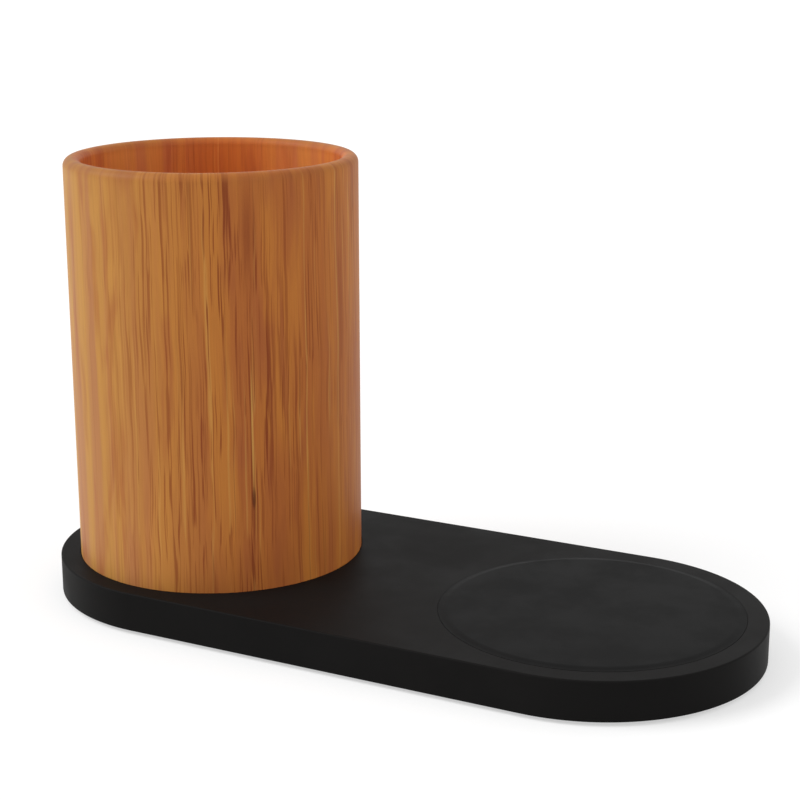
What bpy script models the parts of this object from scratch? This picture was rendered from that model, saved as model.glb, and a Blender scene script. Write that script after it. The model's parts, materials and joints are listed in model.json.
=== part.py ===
"""Wireless charger with a pen cup: a flat base with round ends, a round bamboo cup standing on one end
and a charging pad let into the other.

The base is a moulded housing, open below, closed by a cover that is held by four screws under the feet
and four snap hooks. The charging coil hangs under the pad on its ferrite plate and carrier, and the
circuit board hangs beside the rear wall, with its socket in an opening there.

Metres, +Z up. The base lies along X with the cup at -X, and its rear side, with the socket, is at +Y.
The origin is on the desk, under the middle of the base. Three empties on the base carry what stands on the
cup's axis, on the pad's axis and under the circuit board, and each piece is drawn about its own origin.
"""

import math

import bmesh
import bpy
from mathutils import Matrix, Vector

MM = 0.001
MICRON = 0.001 * MM

# Cup
CUP_DIAMETER = 78 * MM
CUP_WALL = 4.5 * MM
CUP_HEIGHT = 109.1 * MM  # from the deck to the rim
CUP_RIM_OUTER_ROUND = 2.4 * MM
CUP_RIM_INNER_ROUND = 1.9 * MM
CUP_FOOT_CHAMFER = 0.4 * MM
CUP_SEAT_DEPTH = 0.8 * MM  # pocket in the deck that the cup stands in
CUP_SEAT_CLEARANCE = 0.2 * MM
FLOOR_THICKNESS = 6 * MM
FLOOR_LAP = 2 * MM  # how far the floor reaches under the cup's wall
GLUE_GAP = 0.2 * MM

# Base outline: the deck is a margin wider than the cup, and the pad a margin narrower than the deck
DECK_MARGIN = 5.5 * MM
PAD_MARGIN = 5.75 * MM
BARE_DECK = 33.25 * MM  # between the cup and the pad

# Housing
HOUSING_WALL = 2.2 * MM
RIM_WALL = 1 * MM  # the thin wall that hides the cover's edge
EDGE_ROUND = 0.4 * MM
DECK_THICKNESS = 2 * MM
SEAT_GAP = 0.3 * MM  # between pieces that rest on each other

# Charging pad
PAD_THICKNESS = 1.2 * MM
PAD_PROUD = 0.35 * MM
PAD_CLEARANCE = 0.25 * MM
PAD_EDGE_ROUND = 0.2 * MM

# Bottom cover and feet
FOOT_STAND = 1 * MM  # how far the feet lift the housing
FOOT_RADIUS = 5 * MM
FOOT_DISH = 0.3 * MM  # depth of the hollow in the foot's sole
FOOT_DISH_SHARE = 0.5  # of the foot's radius
FOOT_RECESS = 0.6 * MM
FOOT_INSET = 9 * MM  # from the base's edge to the foot's centre
FOOT_ANGLE = math.radians(50)
COVER_THICKNESS = 1.8 * MM
COVER_RECESS = 0.2 * MM
COVER_CLEARANCE = 0.3 * MM
COVER_RIB_HEIGHT = 0.8 * MM
COVER_RIB_THICKNESS = 1.2 * MM
COVER_RIB_SPACING = 14 * MM
COVER_RIB_INSET = 8 * MM

# Snap hooks between the cover and the housing's long walls
HOOK_OFFSET = 31 * MM
HOOK_WIDTH = 6 * MM
HOOK_THICKNESS = 1.2 * MM
HOOK_BARB = 0.9 * MM
HOOK_BARB_HEIGHT = 1.5 * MM
HOOK_STEM = 2 * MM
HOOK_CLEARANCE = 0.3 * MM

# Circuit board and what is on it
BOARD_WIDTH = 44 * MM
BOARD_DEPTH = 29 * MM
BOARD_THICKNESS = 1.2 * MM
BOARD_CORNER = 1.5 * MM
BOARD_STANDOFF = 0.8 * MM
BOARD_WALL_GAP = 0.5 * MM
BOARD_SCREW_INSET = 3.5 * MM
BOARD_BOSS_RADIUS = 2.6 * MM
BOARD_SCREW_DECK_BITE = 1 * MM
SOLDER_GAP = 0.1 * MM
UNDER_SOCKET = 1.04 * MM  # air between the socket and the cover
SOCKET_WIDTH = 8.94 * MM
SOCKET_HEIGHT = 3.26 * MM
SOCKET_LENGTH = 7.35 * MM
SOCKET_WALL = 0.3 * MM
SOCKET_SETBACK = 0.8 * MM  # from the base's rear side to the socket's mouth
SOCKET_PORT_CLEARANCE = 0.25 * MM
SOCKET_PORT_FUNNEL = 0.5 * MM  # bevelled lead-in round the port
SOCKET_INSULATOR_DEPTH = 1.6 * MM
SOCKET_INSULATOR_GAP = 0.06 * MM
TONGUE_WIDTH = 6.69 * MM
TONGUE_THICKNESS = 0.7 * MM
TONGUE_SETBACK = 0.7 * MM
CHIP_SIDE = 7 * MM
CHIP_HEIGHT = 1 * MM
BRIDGE_LENGTH = 4.9 * MM
BRIDGE_WIDTH = 3.9 * MM
BRIDGE_HEIGHT = 1.5 * MM
INDUCTOR_SIDE = 7 * MM
INDUCTOR_HEIGHT = 3 * MM
INDUCTOR_CHAMFER = 1.2 * MM
CAPACITOR_LENGTH = 3.2 * MM
CAPACITOR_WIDTH = 2.5 * MM
CAPACITOR_HEIGHT = 2.2 * MM
CAPACITOR_SPACING = 3.2 * MM
PACKAGE_EDGE = 0.15 * MM
# Places on the board: shares of its width and depth, from its middle
CONTROL_CHIP_SHARES = (-0.05, -0.08)
BRIDGE_CHIP_SHARES = ((0.19, -0.12), (0.19, 0.12))
INDUCTOR_SHARES = (-0.3, 0.08)
RESONANT_ROW_SHARES = (0.36, -0.12)
INPUT_CAPACITOR_SHARES = ((-0.19, 0.38), (0.19, 0.38))
RESONANT_CAPACITORS = 4

# Charging coil, ferrite plate and carrier
COIL_OUTER_RADIUS = 22 * MM
COIL_INNER_RADIUS = 10.25 * MM
COIL_TURNS = 9.5
COIL_POINTS_PER_TURN = 24
WIRE_DIAMETER = 0.72 * MM
COIL_TAPE = 0.2 * MM  # adhesive between the deck, the coil, the ferrite and the carrier
COIL_TAIL_RADIUS = 6.5 * MM
TAIL_BEND = 1.5 * MM
LEAD_DROP_GAP = 0.42 * MM  # between the winding and the lead that crosses under it
LEAD_LANDING = 2.2 * MM  # how far each lead reaches over the board
LEAD_SPACING = 3 * MM
LEAD_MARGIN = 1.44 * MM  # how far a lead stays level after it leaves the board
LEAD_RAMP = 4.8 * MM  # from the carrier's wall to where the outer lead is level with the winding
LEAD_STRAIGHT = 5.125 * MM  # how far the outer lead runs straight before the winding
LEAD_STEPS = 4  # points from one knot of a lead to the next
FERRITE_MARGIN = 2 * MM
FERRITE_THICKNESS = 1 * MM
FERRITE_HOLE_RADIUS = 9.2 * MM
FERRITE_SLOT = 1.8 * MM
CARRIER_CLEARANCE = 0.3 * MM
CARRIER_WALL = 1.2 * MM
CARRIER_PLATE = 1.5 * MM
CARRIER_HOLE_RADIUS = 13 * MM
CARRIER_EAR_RADIUS = 3.2 * MM
CARRIER_EAR_REACH = 3.5 * MM  # from the carrier's wall to the ear's hole
CARRIER_NOTCH = 3 * MM  # gap in the carrier's wall for each lead

# Screws: shank, head and the holes that take them
CUP_SCREW_RADIUS = 1.3 * MM
CUP_SCREW_HEAD_RADIUS = 2.9 * MM
CUP_SCREW_HEAD_HEIGHT = 1.9 * MM
CUP_SCREW_RING = 20 * MM
CUP_SCREW_BOSS_RADIUS = 4.5 * MM
CUP_SCREW_BOSS_HEIGHT = 1.2 * MM
FLOOR_SKIN = 1.5 * MM  # wood left above the cup screws
CASE_SCREW_RADIUS = 1.1 * MM
CASE_SCREW_HEAD_RADIUS = 2.3 * MM
CASE_SCREW_HEAD_HEIGHT = 1.4 * MM
CASE_BOSS_RADIUS = 3 * MM
CASE_BITE = 3.6 * MM
WELL_RISE = 1.8 * MM
WELL_FLOOR = 1.2 * MM
WELL_WALL = 1.2 * MM
SMALL_SCREW_RADIUS = 0.85 * MM
SMALL_SCREW_HEAD_RADIUS = 1.75 * MM
SMALL_SCREW_HEAD_HEIGHT = 1.2 * MM
EAR_SCREW_DECK_BITE = 0.2 * MM
SMALL_BOSS_RADIUS = 2.6 * MM
SCREW_PLAY = 0.1 * MM  # between a shank and its pilot hole
HEAD_PLAY = 0.4 * MM
THROUGH_PLAY = 0.3 * MM
HEAD_GAP = 0.1 * MM
TIP_GAP = 0.3 * MM
SCREW_TIP = 0.8 * MM
SCREW_TIP_SHARE = 0.5  # of the shank's radius
HEAD_ROUND_SHARE = 0.45  # of the head's height

# Ribs under the deck
RIB_THICKNESS = 1.2 * MM
RIB_HEIGHT = 1.6 * MM
RIB_STEP = 0.3 * MM  # the spokes are this much lower than the rings that they meet
RIB_HUB_RADIUS = 9 * MM
RIB_RING_RADIUS = 31 * MM
RIB_COUNT = 6
STIFFENER_SPACING = 13 * MM
STIFFENER_LENGTH = 30 * MM

OVERRUN = 1 * MM  # how far a cutter runs past what it cuts
ROOT = 0.2 * MM  # how far a boss or rib grows into its plate
WELD = 0.1 * MICRON  # points closer than this are one
TURN_WELD = 1 * MICRON
NEIGHBOUR_SHARE = 8  # stretches of wire closer along it than this many diameters are neighbours
EMPTY_SIZE = 10 * MM  # as drawn in the viewport

# Facets
ROUND_SEGMENTS = 72
RING_SEGMENTS = 44  # rings and discs inside the base
FOOT_SEGMENTS = 24
BOSS_SEGMENTS = 16
SCREW_SEGMENTS = 12
CORNER_SEGMENTS = 4
EDGE_SEGMENTS = 2
SMOOTH_ANGLE = math.radians(35)
BEVEL_ANGLE = math.radians(50)

# Sizes that follow
CUP_RADIUS = CUP_DIAMETER / 2
CUP_BORE_RADIUS = CUP_RADIUS - CUP_WALL
HALF_WIDTH = CUP_RADIUS + DECK_MARGIN
PAD_RADIUS = HALF_WIDTH - PAD_MARGIN
CENTRE_DISTANCE = CUP_RADIUS + BARE_DECK + PAD_RADIUS
CUP_X = -CENTRE_DISTANCE / 2
PAD_X = CENTRE_DISTANCE / 2
INNER_HALF_WIDTH = HALF_WIDTH - HOUSING_WALL
COVER_HALF_WIDTH = HALF_WIDTH - RIM_WALL - COVER_CLEARANCE

# Heights, from the desk up
RIM_Z = FOOT_STAND
COVER_BOTTOM_Z = RIM_Z + COVER_RECESS
COVER_TOP_Z = COVER_BOTTOM_Z + COVER_THICKNESS
SOCKET_BOTTOM_Z = COVER_TOP_Z + UNDER_SOCKET
BOARD_BOTTOM_Z = SOCKET_BOTTOM_Z + SOCKET_HEIGHT + SOLDER_GAP
BOARD_TOP_Z = BOARD_BOTTOM_Z + BOARD_THICKNESS
DECK_UNDER_Z = BOARD_TOP_Z + BOARD_STANDOFF
DECK_Z = DECK_UNDER_Z + DECK_THICKNESS
PAD_TOP_Z = DECK_Z + PAD_PROUD
PAD_BOTTOM_Z = PAD_TOP_Z - PAD_THICKNESS
CUP_SEAT_Z = DECK_Z - CUP_SEAT_DEPTH
CUP_BOTTOM_Z = CUP_SEAT_Z + SEAT_GAP
CUP_TOP_Z = DECK_Z + CUP_HEIGHT
CUP_LENGTH = CUP_TOP_Z - CUP_BOTTOM_Z
FLOOR_TOP_Z = CUP_BOTTOM_Z + FLOOR_THICKNESS
FOOT_SEAT_Z = COVER_BOTTOM_Z + FOOT_RECESS
WELL_TOP_Z = COVER_TOP_Z + WELL_RISE
WELL_SEAT_Z = WELL_TOP_Z - WELL_FLOOR
CASE_BOSS_Z = WELL_TOP_Z + SEAT_GAP
WINDING_Z = DECK_UNDER_Z - COIL_TAPE - WIRE_DIAMETER / 2
FERRITE_TOP_Z = WINDING_Z - WIRE_DIAMETER / 2 - COIL_TAPE
FERRITE_BOTTOM_Z = FERRITE_TOP_Z - FERRITE_THICKNESS
CARRIER_TOP_Z = FERRITE_BOTTOM_Z - COIL_TAPE
CARRIER_BOTTOM_Z = CARRIER_TOP_Z - CARRIER_PLATE
UNDERPASS_DROP = WIRE_DIAMETER + LEAD_DROP_GAP
SOLDER_DROP = WINDING_Z - (BOARD_BOTTOM_Z - SOLDER_GAP - WIRE_DIAMETER / 2)

# Places in the plan
CUP_CENTRE = (CUP_X, 0)
PAD_CENTRE = (PAD_X, 0)
BOARD_CENTRE = (0, INNER_HALF_WIDTH - BOARD_WALL_GAP - BOARD_DEPTH / 2)
SOCKET_FRONT_Y = HALF_WIDTH - SOCKET_SETBACK
SOCKET_Z = SOCKET_BOTTOM_Z + SOCKET_HEIGHT / 2
FERRITE_RADIUS = COIL_OUTER_RADIUS + FERRITE_MARGIN
CARRIER_INNER_RADIUS = FERRITE_RADIUS + CARRIER_CLEARANCE
CARRIER_RADIUS = CARRIER_INNER_RADIUS + CARRIER_WALL
EAR_RING = CARRIER_RADIUS + CARRIER_EAR_REACH
EAR_ANGLES = (math.radians(0), math.radians(105), math.radians(255))
# The coil's two leads, from the pad's axis: the outer one is in line with the coil's far side
LEAD_END_X = BOARD_WIDTH / 2 - LEAD_LANDING - PAD_X
LEAD_LEVEL_X = BOARD_WIDTH / 2 + LEAD_MARGIN - PAD_X
OUTER_LEAD_Y = COIL_OUTER_RADIUS
INNER_LEAD_Y = OUTER_LEAD_Y - LEAD_SPACING
INNER_LEAD_ANGLE = math.atan2(INNER_LEAD_Y, LEAD_END_X)


def clear_scene():
    """Removes every object of the scene that the script starts in."""
    for obj in list(bpy.data.objects):
        bpy.data.objects.remove(obj, do_unlink=True)


def make_collection(name):
    """A collection linked to the scene."""
    collection = bpy.data.collections.new(name)
    bpy.context.scene.collection.children.link(collection)
    return collection


def make_material(name, colour, roughness, metallic=0.0):
    """A Principled BSDF material."""
    material = bpy.data.materials.new(name)
    material.use_nodes = True
    shader = material.node_tree.nodes["Principled BSDF"]
    shader.inputs["Base Color"].default_value = (*colour, 1.0)
    shader.inputs["Roughness"].default_value = roughness
    shader.inputs["Metallic"].default_value = metallic
    return material


def add_object(name, mesh, collection, material=None, parent=None, location=(0, 0, 0)):
    """An object for a mesh, placed by its location on its parent. Without a mesh it is an empty."""
    obj = bpy.data.objects.new(name, mesh)
    collection.objects.link(obj)
    obj.parent = parent
    obj.location = location
    if material:
        mesh.materials.clear()
        mesh.materials.append(material)
    return obj


def add_empty(name, collection, parent=None, location=(0, 0, 0)):
    """An empty that pieces are placed on."""
    empty = add_object(name, None, collection, None, parent, location)
    empty.empty_display_size = EMPTY_SIZE
    return empty


def shade(mesh):
    """Smooth shading, with the sharp edges kept sharp."""
    mesh.shade_smooth()
    mesh.set_sharp_from_angle(angle=SMOOTH_ANGLE)
    return mesh


def mesh_of(obj):
    """The evaluated mesh of a curve or mesh object, with its caps welded and its place applied. The object is
    removed."""
    bpy.context.view_layer.update()
    graph = bpy.context.evaluated_depsgraph_get()
    mesh = bpy.data.meshes.new_from_object(obj.evaluated_get(graph))
    mesh.transform(obj.matrix_world)
    name = obj.name
    bpy.data.objects.remove(obj, do_unlink=True)
    work = bmesh.new()
    work.from_mesh(mesh)
    bmesh.ops.remove_doubles(work, verts=work.verts, dist=WELD)
    bmesh.ops.recalc_face_normals(work, faces=work.faces)
    work.to_mesh(mesh)
    work.free()
    mesh.name = name
    return mesh


def arc(centre, radius, start, end, segments):
    """Points on an arc about centre, from the angle start to end, both included."""
    return [
        (
            centre[0] + radius * math.cos(start + (end - start) * i / segments),
            centre[1] + radius * math.sin(start + (end - start) * i / segments),
        )
        for i in range(segments + 1)
    ]


def circle_outline(radius, centre, segments):
    """Points round a full circle, none of them on an axis."""
    start = math.pi / segments
    return arc(centre, radius, start, start + math.tau, segments)[:-1]


def ring_outlines(outer, inner, centre=(0, 0)):
    """The two outlines of a ring inside the base."""
    return [circle_outline(radius, centre, RING_SEGMENTS) for radius in (outer, inner)]


def stadium_outline(half_width):
    """The base's outline with its straight sides at half_width: two half circles about the cup's and the
    pad's centres."""
    half = ROUND_SEGMENTS // 2
    right = arc(PAD_CENTRE, half_width, -math.pi / 2, math.pi / 2, half)
    left = arc(CUP_CENTRE, half_width, math.pi / 2, 3 * math.pi / 2, half)
    return right + left


def rounded_outline(width, height, radius, centre=(0, 0)):
    """A rectangle with round corners."""
    radius = min(radius, width / 2, height / 2)
    points = []
    for quarter, (side_x, side_y) in enumerate(((1, 1), (-1, 1), (-1, -1), (1, -1))):
        corner = (
            centre[0] + side_x * (width / 2 - radius),
            centre[1] + side_y * (height / 2 - radius),
        )
        start = quarter * math.pi / 2
        points += arc(corner, radius, start, start + math.pi / 2, CORNER_SEGMENTS)
    return points


def drop_repeats(points):
    """The outline without neighbours that coincide, as where two round corners meet."""
    return [p for i, p in enumerate(points) if math.dist(p, points[i - 1]) > WELD]


def plate_mesh(name, outlines, bottom, top, place=Matrix.Identity(4)):
    """A flat plate from closed outlines in XY, the first round it and the others its holes, between two
    heights, then moved by place."""
    curve = bpy.data.curves.new(name, "CURVE")
    curve.dimensions = "2D"
    curve.fill_mode = "BOTH"
    curve.extrude = (top - bottom) / 2
    for outline in outlines:
        points = drop_repeats(outline)
        spline = curve.splines.new("POLY")
        spline.points.add(len(points) - 1)
        for point, (x, y) in zip(spline.points, points):
            point.co = (x, y, 0, 1)
        spline.use_cyclic_u = True
    obj = bpy.data.objects.new(name, curve)
    bpy.context.scene.collection.objects.link(obj)
    obj.matrix_world = place @ Matrix.Translation((0, 0, (bottom + top) / 2))
    return mesh_of(obj)


def turned_mesh(name, profile, segments, closed=False):
    """A solid of revolution about the Z axis. The profile's points are (radius, height) and run down the
    outer side. A closed profile makes a ring."""
    mesh = bpy.data.meshes.new(name)
    work = bmesh.new()
    verts = [work.verts.new((radius, 0, height)) for radius, height in profile]
    pairs = list(zip(verts, verts[1:]))
    if closed:
        pairs.append((verts[-1], verts[0]))
    for pair in pairs:
        work.edges.new(pair)
    work.to_mesh(mesh)
    work.free()
    obj = bpy.data.objects.new(name, mesh)
    bpy.context.scene.collection.objects.link(obj)
    screw = obj.modifiers.new("Turn", "SCREW")
    screw.steps = segments
    screw.render_steps = segments
    screw.use_merge_vertices = True
    screw.merge_threshold = TURN_WELD
    return shade(mesh_of(obj))


def cylinder_mesh(name, radius, bottom, top, centre=(0, 0), segments=BOSS_SEGMENTS):
    """An upright cylinder between two heights, with no corner on an axis."""
    mesh = bpy.data.meshes.new(name)
    work = bmesh.new()
    place = Matrix.Translation((*centre, (bottom + top) / 2))
    bmesh.ops.create_cone(
        work,
        cap_ends=True,
        segments=segments,
        radius1=radius,
        radius2=radius,
        depth=top - bottom,
        matrix=place @ Matrix.Rotation(math.pi / segments, 4, "Z"),
    )
    work.to_mesh(mesh)
    work.free()
    return mesh


def box_mesh(name, low, high):
    """A box between two corners."""
    low, high = Vector(low), Vector(high)
    mesh = bpy.data.meshes.new(name)
    work = bmesh.new()
    size = Matrix.Diagonal((*(high - low), 1.0))
    bmesh.ops.create_cube(work, size=1.0, matrix=Matrix.Translation((low + high) / 2) @ size)
    work.to_mesh(mesh)
    work.free()
    return mesh


def wire_mesh(name, points, diameter):
    """A round wire along points, with flat ends."""
    curve = bpy.data.curves.new(name, "CURVE")
    curve.dimensions = "3D"
    curve.bevel_depth = diameter / 2
    curve.bevel_resolution = 1
    curve.use_fill_caps = True
    spline = curve.splines.new("POLY")
    spline.points.add(len(points) - 1)
    for point, place in zip(spline.points, points):
        point.co = (*place, 1)
    obj = bpy.data.objects.new(name, curve)
    bpy.context.scene.collection.objects.link(obj)
    return mesh_of(obj)


def add_bevel(obj, width, segments):
    """Rounds the object's right-angled edges."""
    bevel = obj.modifiers.new("Round edges", "BEVEL")
    bevel.width = width
    bevel.segments = segments
    bevel.limit_method = "ANGLE"
    bevel.angle_limit = BEVEL_ANGLE


def combine(obj, operation, meshes, cutters, purpose):
    """Cuts or joins helper meshes, drawn about the object's origin, with one Boolean modifier, and files them
    in a collection of their own."""
    helpers = bpy.data.collections.new(f"{obj.name} {purpose}")
    cutters.children.link(helpers)
    for mesh in meshes:
        helper = add_object(mesh.name, mesh, helpers, parent=obj)
        helper.hide_render = True
        helper.display_type = "WIRE"
    boolean = obj.modifiers.new(purpose.capitalize(), "BOOLEAN")
    boolean.operation = operation
    boolean.solver = "EXACT"
    boolean.operand_type = "COLLECTION"
    boolean.collection = helpers
    boolean.show_viewport = False


def on_ring(centre, radius, angle):
    """The point on a ring about centre at an angle."""
    return (centre[0] + radius * math.cos(angle), centre[1] + radius * math.sin(angle))


def foot_places():
    """The four feet, two about each end's centre."""
    ring = HALF_WIDTH - FOOT_INSET
    right = [on_ring(PAD_CENTRE, ring, angle) for angle in (-FOOT_ANGLE, FOOT_ANGLE)]
    return right + [(-x, y) for x, y in right]


def cup_screw_places(centre=(0, 0)):
    """Three screws in a ring under the cup."""
    return [on_ring(centre, CUP_SCREW_RING, i * math.tau / 3) for i in range(3)]


def ear_places(centre=(0, 0)):
    """The screws in the coil carrier's ears."""
    return [on_ring(centre, EAR_RING, angle) for angle in EAR_ANGLES]


def board_screw_places(centre=(0, 0)):
    """One screw near each corner of the board."""
    x = BOARD_WIDTH / 2 - BOARD_SCREW_INSET
    y = BOARD_DEPTH / 2 - BOARD_SCREW_INSET
    return [(centre[0] + side_x * x, centre[1] + side_y * y) for side_y in (-1, 1) for side_x in (-1, 1)]


def socket_outline(grow=0.0, centre=(0, 0)):
    """The socket's cross-section, in X and Z, or one that stands off it by grow."""
    height = SOCKET_HEIGHT + 2 * grow
    return rounded_outline(SOCKET_WIDTH + 2 * grow, height, height / 2, centre)


def upright_plate(name, outlines, front, back):
    """A plate whose outlines are in X and Z and whose thickness spans y from front to back."""
    turn = Matrix(((1, 0, 0, 0), (0, 0, -1, 0), (0, 1, 0, 0), (0, 0, 0, 1)))
    return plate_mesh(name, outlines, -back, -front, turn)


def hook_mesh(x, side):
    """A snap hook on the cover at x, by the front wall (side -1) or the rear wall (side 1): a stem with a
    barb that points outwards."""
    outer = INNER_HALF_WIDTH - HOOK_CLEARANCE
    inner = outer - HOOK_THICKNESS
    base = COVER_TOP_Z - ROOT
    catch = COVER_TOP_Z + HOOK_STEM
    tip = catch + HOOK_BARB_HEIGHT
    stem = [(inner, tip), (inner, base), (outer, base), (outer, catch)]
    barb = [(outer + HOOK_BARB, catch), (outer, tip)]
    turn = Matrix(((0, 0, 1, x), (side, 0, 0, 0), (0, 1, 0, 0), (0, 0, 0, 1)))
    return plate_mesh("snap hook", [stem + barb], -HOOK_WIDTH / 2, HOOK_WIDTH / 2, turn)


def hook_pocket_mesh(x, side):
    """The pocket in the housing's wall that a hook's barb springs into."""
    inner = INNER_HALF_WIDTH - OVERRUN
    outer = INNER_HALF_WIDTH - HOOK_CLEARANCE + HOOK_BARB + HOOK_CLEARANCE
    half = HOOK_WIDTH / 2 + HOOK_CLEARANCE
    catch = COVER_TOP_Z + HOOK_STEM - HOOK_CLEARANCE
    tip = COVER_TOP_Z + HOOK_STEM + HOOK_BARB_HEIGHT + HOOK_CLEARANCE
    near, far = sorted((side * inner, side * outer))
    return box_mesh("hook pocket", (x - half, near, catch), (x + half, far, tip))


def hook_places():
    """The hooks' places along the base and the side of each."""
    return [(x, side) for side in (-1, 1) for x in (-HOOK_OFFSET, HOOK_OFFSET)]


def rib_meshes():
    """Ribs under the deck: a hub, a ring and spokes under the cup, and stiffeners along the middle of the
    front half."""
    low, high = DECK_UNDER_Z - RIB_HEIGHT, DECK_UNDER_Z + ROOT
    half = RIB_THICKNESS / 2
    ribs = []
    for radius in (RIB_HUB_RADIUS, RIB_RING_RADIUS):
        rings = ring_outlines(radius + half, radius - half, CUP_CENTRE)
        ribs.append(plate_mesh("ring rib", rings, low, high))
    for i in range(RIB_COUNT):
        spoke = box_mesh("spoke rib", (RIB_HUB_RADIUS, -half, low + RIB_STEP), (RIB_RING_RADIUS, half, high))
        angle = (i + 0.5) * math.tau / RIB_COUNT
        spoke.transform(Matrix.Translation((CUP_X, 0, 0)) @ Matrix.Rotation(angle, 4, "Z"))
        ribs.append(spoke)
    reach = STIFFENER_LENGTH / 2
    for row in (-1, -2):
        y = row * STIFFENER_SPACING
        ribs.append(box_mesh("stiffener rib", (-reach, y - half, low), (reach, y + half, high)))
    return ribs


def build_housing(base, parts, cutters, material):
    """The moulded housing: deck, side wall, pockets, bosses, ribs and the socket's port."""
    block = plate_mesh("housing", [stadium_outline(HALF_WIDTH)], RIM_Z, DECK_Z)
    shell = add_object("housing", block, parts, material, base)
    add_bevel(shell, EDGE_ROUND, EDGE_SEGMENTS)
    hollows = [
        plate_mesh("cavity", [stadium_outline(INNER_HALF_WIDTH)], RIM_Z - OVERRUN, DECK_UNDER_Z),
        plate_mesh(
            "cover rebate", [stadium_outline(HALF_WIDTH - RIM_WALL)], RIM_Z - OVERRUN, COVER_TOP_Z + SEAT_GAP
        ),
        cylinder_mesh(
            "pad pocket",
            PAD_RADIUS + PAD_CLEARANCE,
            PAD_BOTTOM_Z - GLUE_GAP,
            DECK_Z + OVERRUN,
            PAD_CENTRE,
            ROUND_SEGMENTS,
        ),
        cylinder_mesh(
            "cup seat",
            CUP_RADIUS + CUP_SEAT_CLEARANCE,
            CUP_SEAT_Z,
            DECK_Z + OVERRUN,
            CUP_CENTRE,
            ROUND_SEGMENTS,
        ),
        upright_plate(
            "socket port",
            [socket_outline(SOCKET_PORT_CLEARANCE, (0, SOCKET_Z))],
            INNER_HALF_WIDTH - OVERRUN,
            HALF_WIDTH + OVERRUN,
        ),
        funnel_mesh(),
    ]
    hollows += [hook_pocket_mesh(x, side) for x, side in hook_places()]
    combine(shell, "DIFFERENCE", hollows, cutters, "hollows")

    top = DECK_UNDER_Z + ROOT
    bosses = rib_meshes()
    bosses += [
        cylinder_mesh("case boss", CASE_BOSS_RADIUS, CASE_BOSS_Z, top, place) for place in foot_places()
    ]
    bosses += [
        cylinder_mesh("cup boss", CUP_SCREW_BOSS_RADIUS, DECK_UNDER_Z - CUP_SCREW_BOSS_HEIGHT, top, place)
        for place in cup_screw_places(CUP_CENTRE)
    ]
    bosses += [
        cylinder_mesh("ear boss", SMALL_BOSS_RADIUS, CARRIER_TOP_Z + COIL_TAPE, top, place)
        for place in ear_places(PAD_CENTRE)
    ]
    bosses += [
        cylinder_mesh("board boss", BOARD_BOSS_RADIUS, BOARD_TOP_Z + SOLDER_GAP, top, place)
        for place in board_screw_places(BOARD_CENTRE)
    ]
    combine(shell, "UNION", bosses, cutters, "bosses")

    pilot = CASE_SCREW_RADIUS + SCREW_PLAY
    small_pilot = SMALL_SCREW_RADIUS + SCREW_PLAY
    holes = [
        cylinder_mesh(
            "case pilot",
            pilot,
            CASE_BOSS_Z - OVERRUN,
            CASE_BOSS_Z + CASE_BITE,
            place,
            SCREW_SEGMENTS,
        )
        for place in foot_places()
    ]
    holes += [
        cylinder_mesh(
            "cup screw hole",
            CUP_SCREW_RADIUS + THROUGH_PLAY,
            DECK_UNDER_Z - CUP_SCREW_BOSS_HEIGHT - OVERRUN,
            DECK_Z + OVERRUN,
            place,
            SCREW_SEGMENTS,
        )
        for place in cup_screw_places(CUP_CENTRE)
    ]
    holes += [
        cylinder_mesh(
            "ear pilot",
            small_pilot,
            CARRIER_TOP_Z - OVERRUN,
            DECK_UNDER_Z + EAR_SCREW_DECK_BITE,
            place,
            SCREW_SEGMENTS,
        )
        for place in ear_places(PAD_CENTRE)
    ]
    holes += [
        cylinder_mesh(
            "board pilot",
            small_pilot,
            BOARD_TOP_Z - OVERRUN,
            DECK_UNDER_Z + BOARD_SCREW_DECK_BITE,
            place,
            SCREW_SEGMENTS,
        )
        for place in board_screw_places(BOARD_CENTRE)
    ]
    combine(shell, "DIFFERENCE", holes, cutters, "holes")


def funnel_mesh():
    """The bevelled lead-in round the port: a loft from the port's outline to a wider one at the base's
    rear side, run on past it."""
    near = drop_repeats(socket_outline(SOCKET_PORT_CLEARANCE, (0, SOCKET_Z)))
    wide = drop_repeats(socket_outline(SOCKET_PORT_CLEARANCE + SOCKET_PORT_FUNNEL + OVERRUN, (0, SOCKET_Z)))
    mesh = bpy.data.meshes.new("port funnel")
    work = bmesh.new()
    rings = []
    for outline, y in ((near, HALF_WIDTH - SOCKET_PORT_FUNNEL), (wide, HALF_WIDTH + OVERRUN)):
        rings.append([work.verts.new((x, y, z)) for x, z in outline])
    count = len(near)
    for i in range(count):
        j = (i + 1) % count
        work.faces.new((rings[0][i], rings[0][j], rings[1][j], rings[1][i]))
    for ring in rings:
        work.faces.new(ring)
    bmesh.ops.recalc_face_normals(work, faces=work.faces)
    work.to_mesh(mesh)
    work.free()
    return mesh


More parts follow.
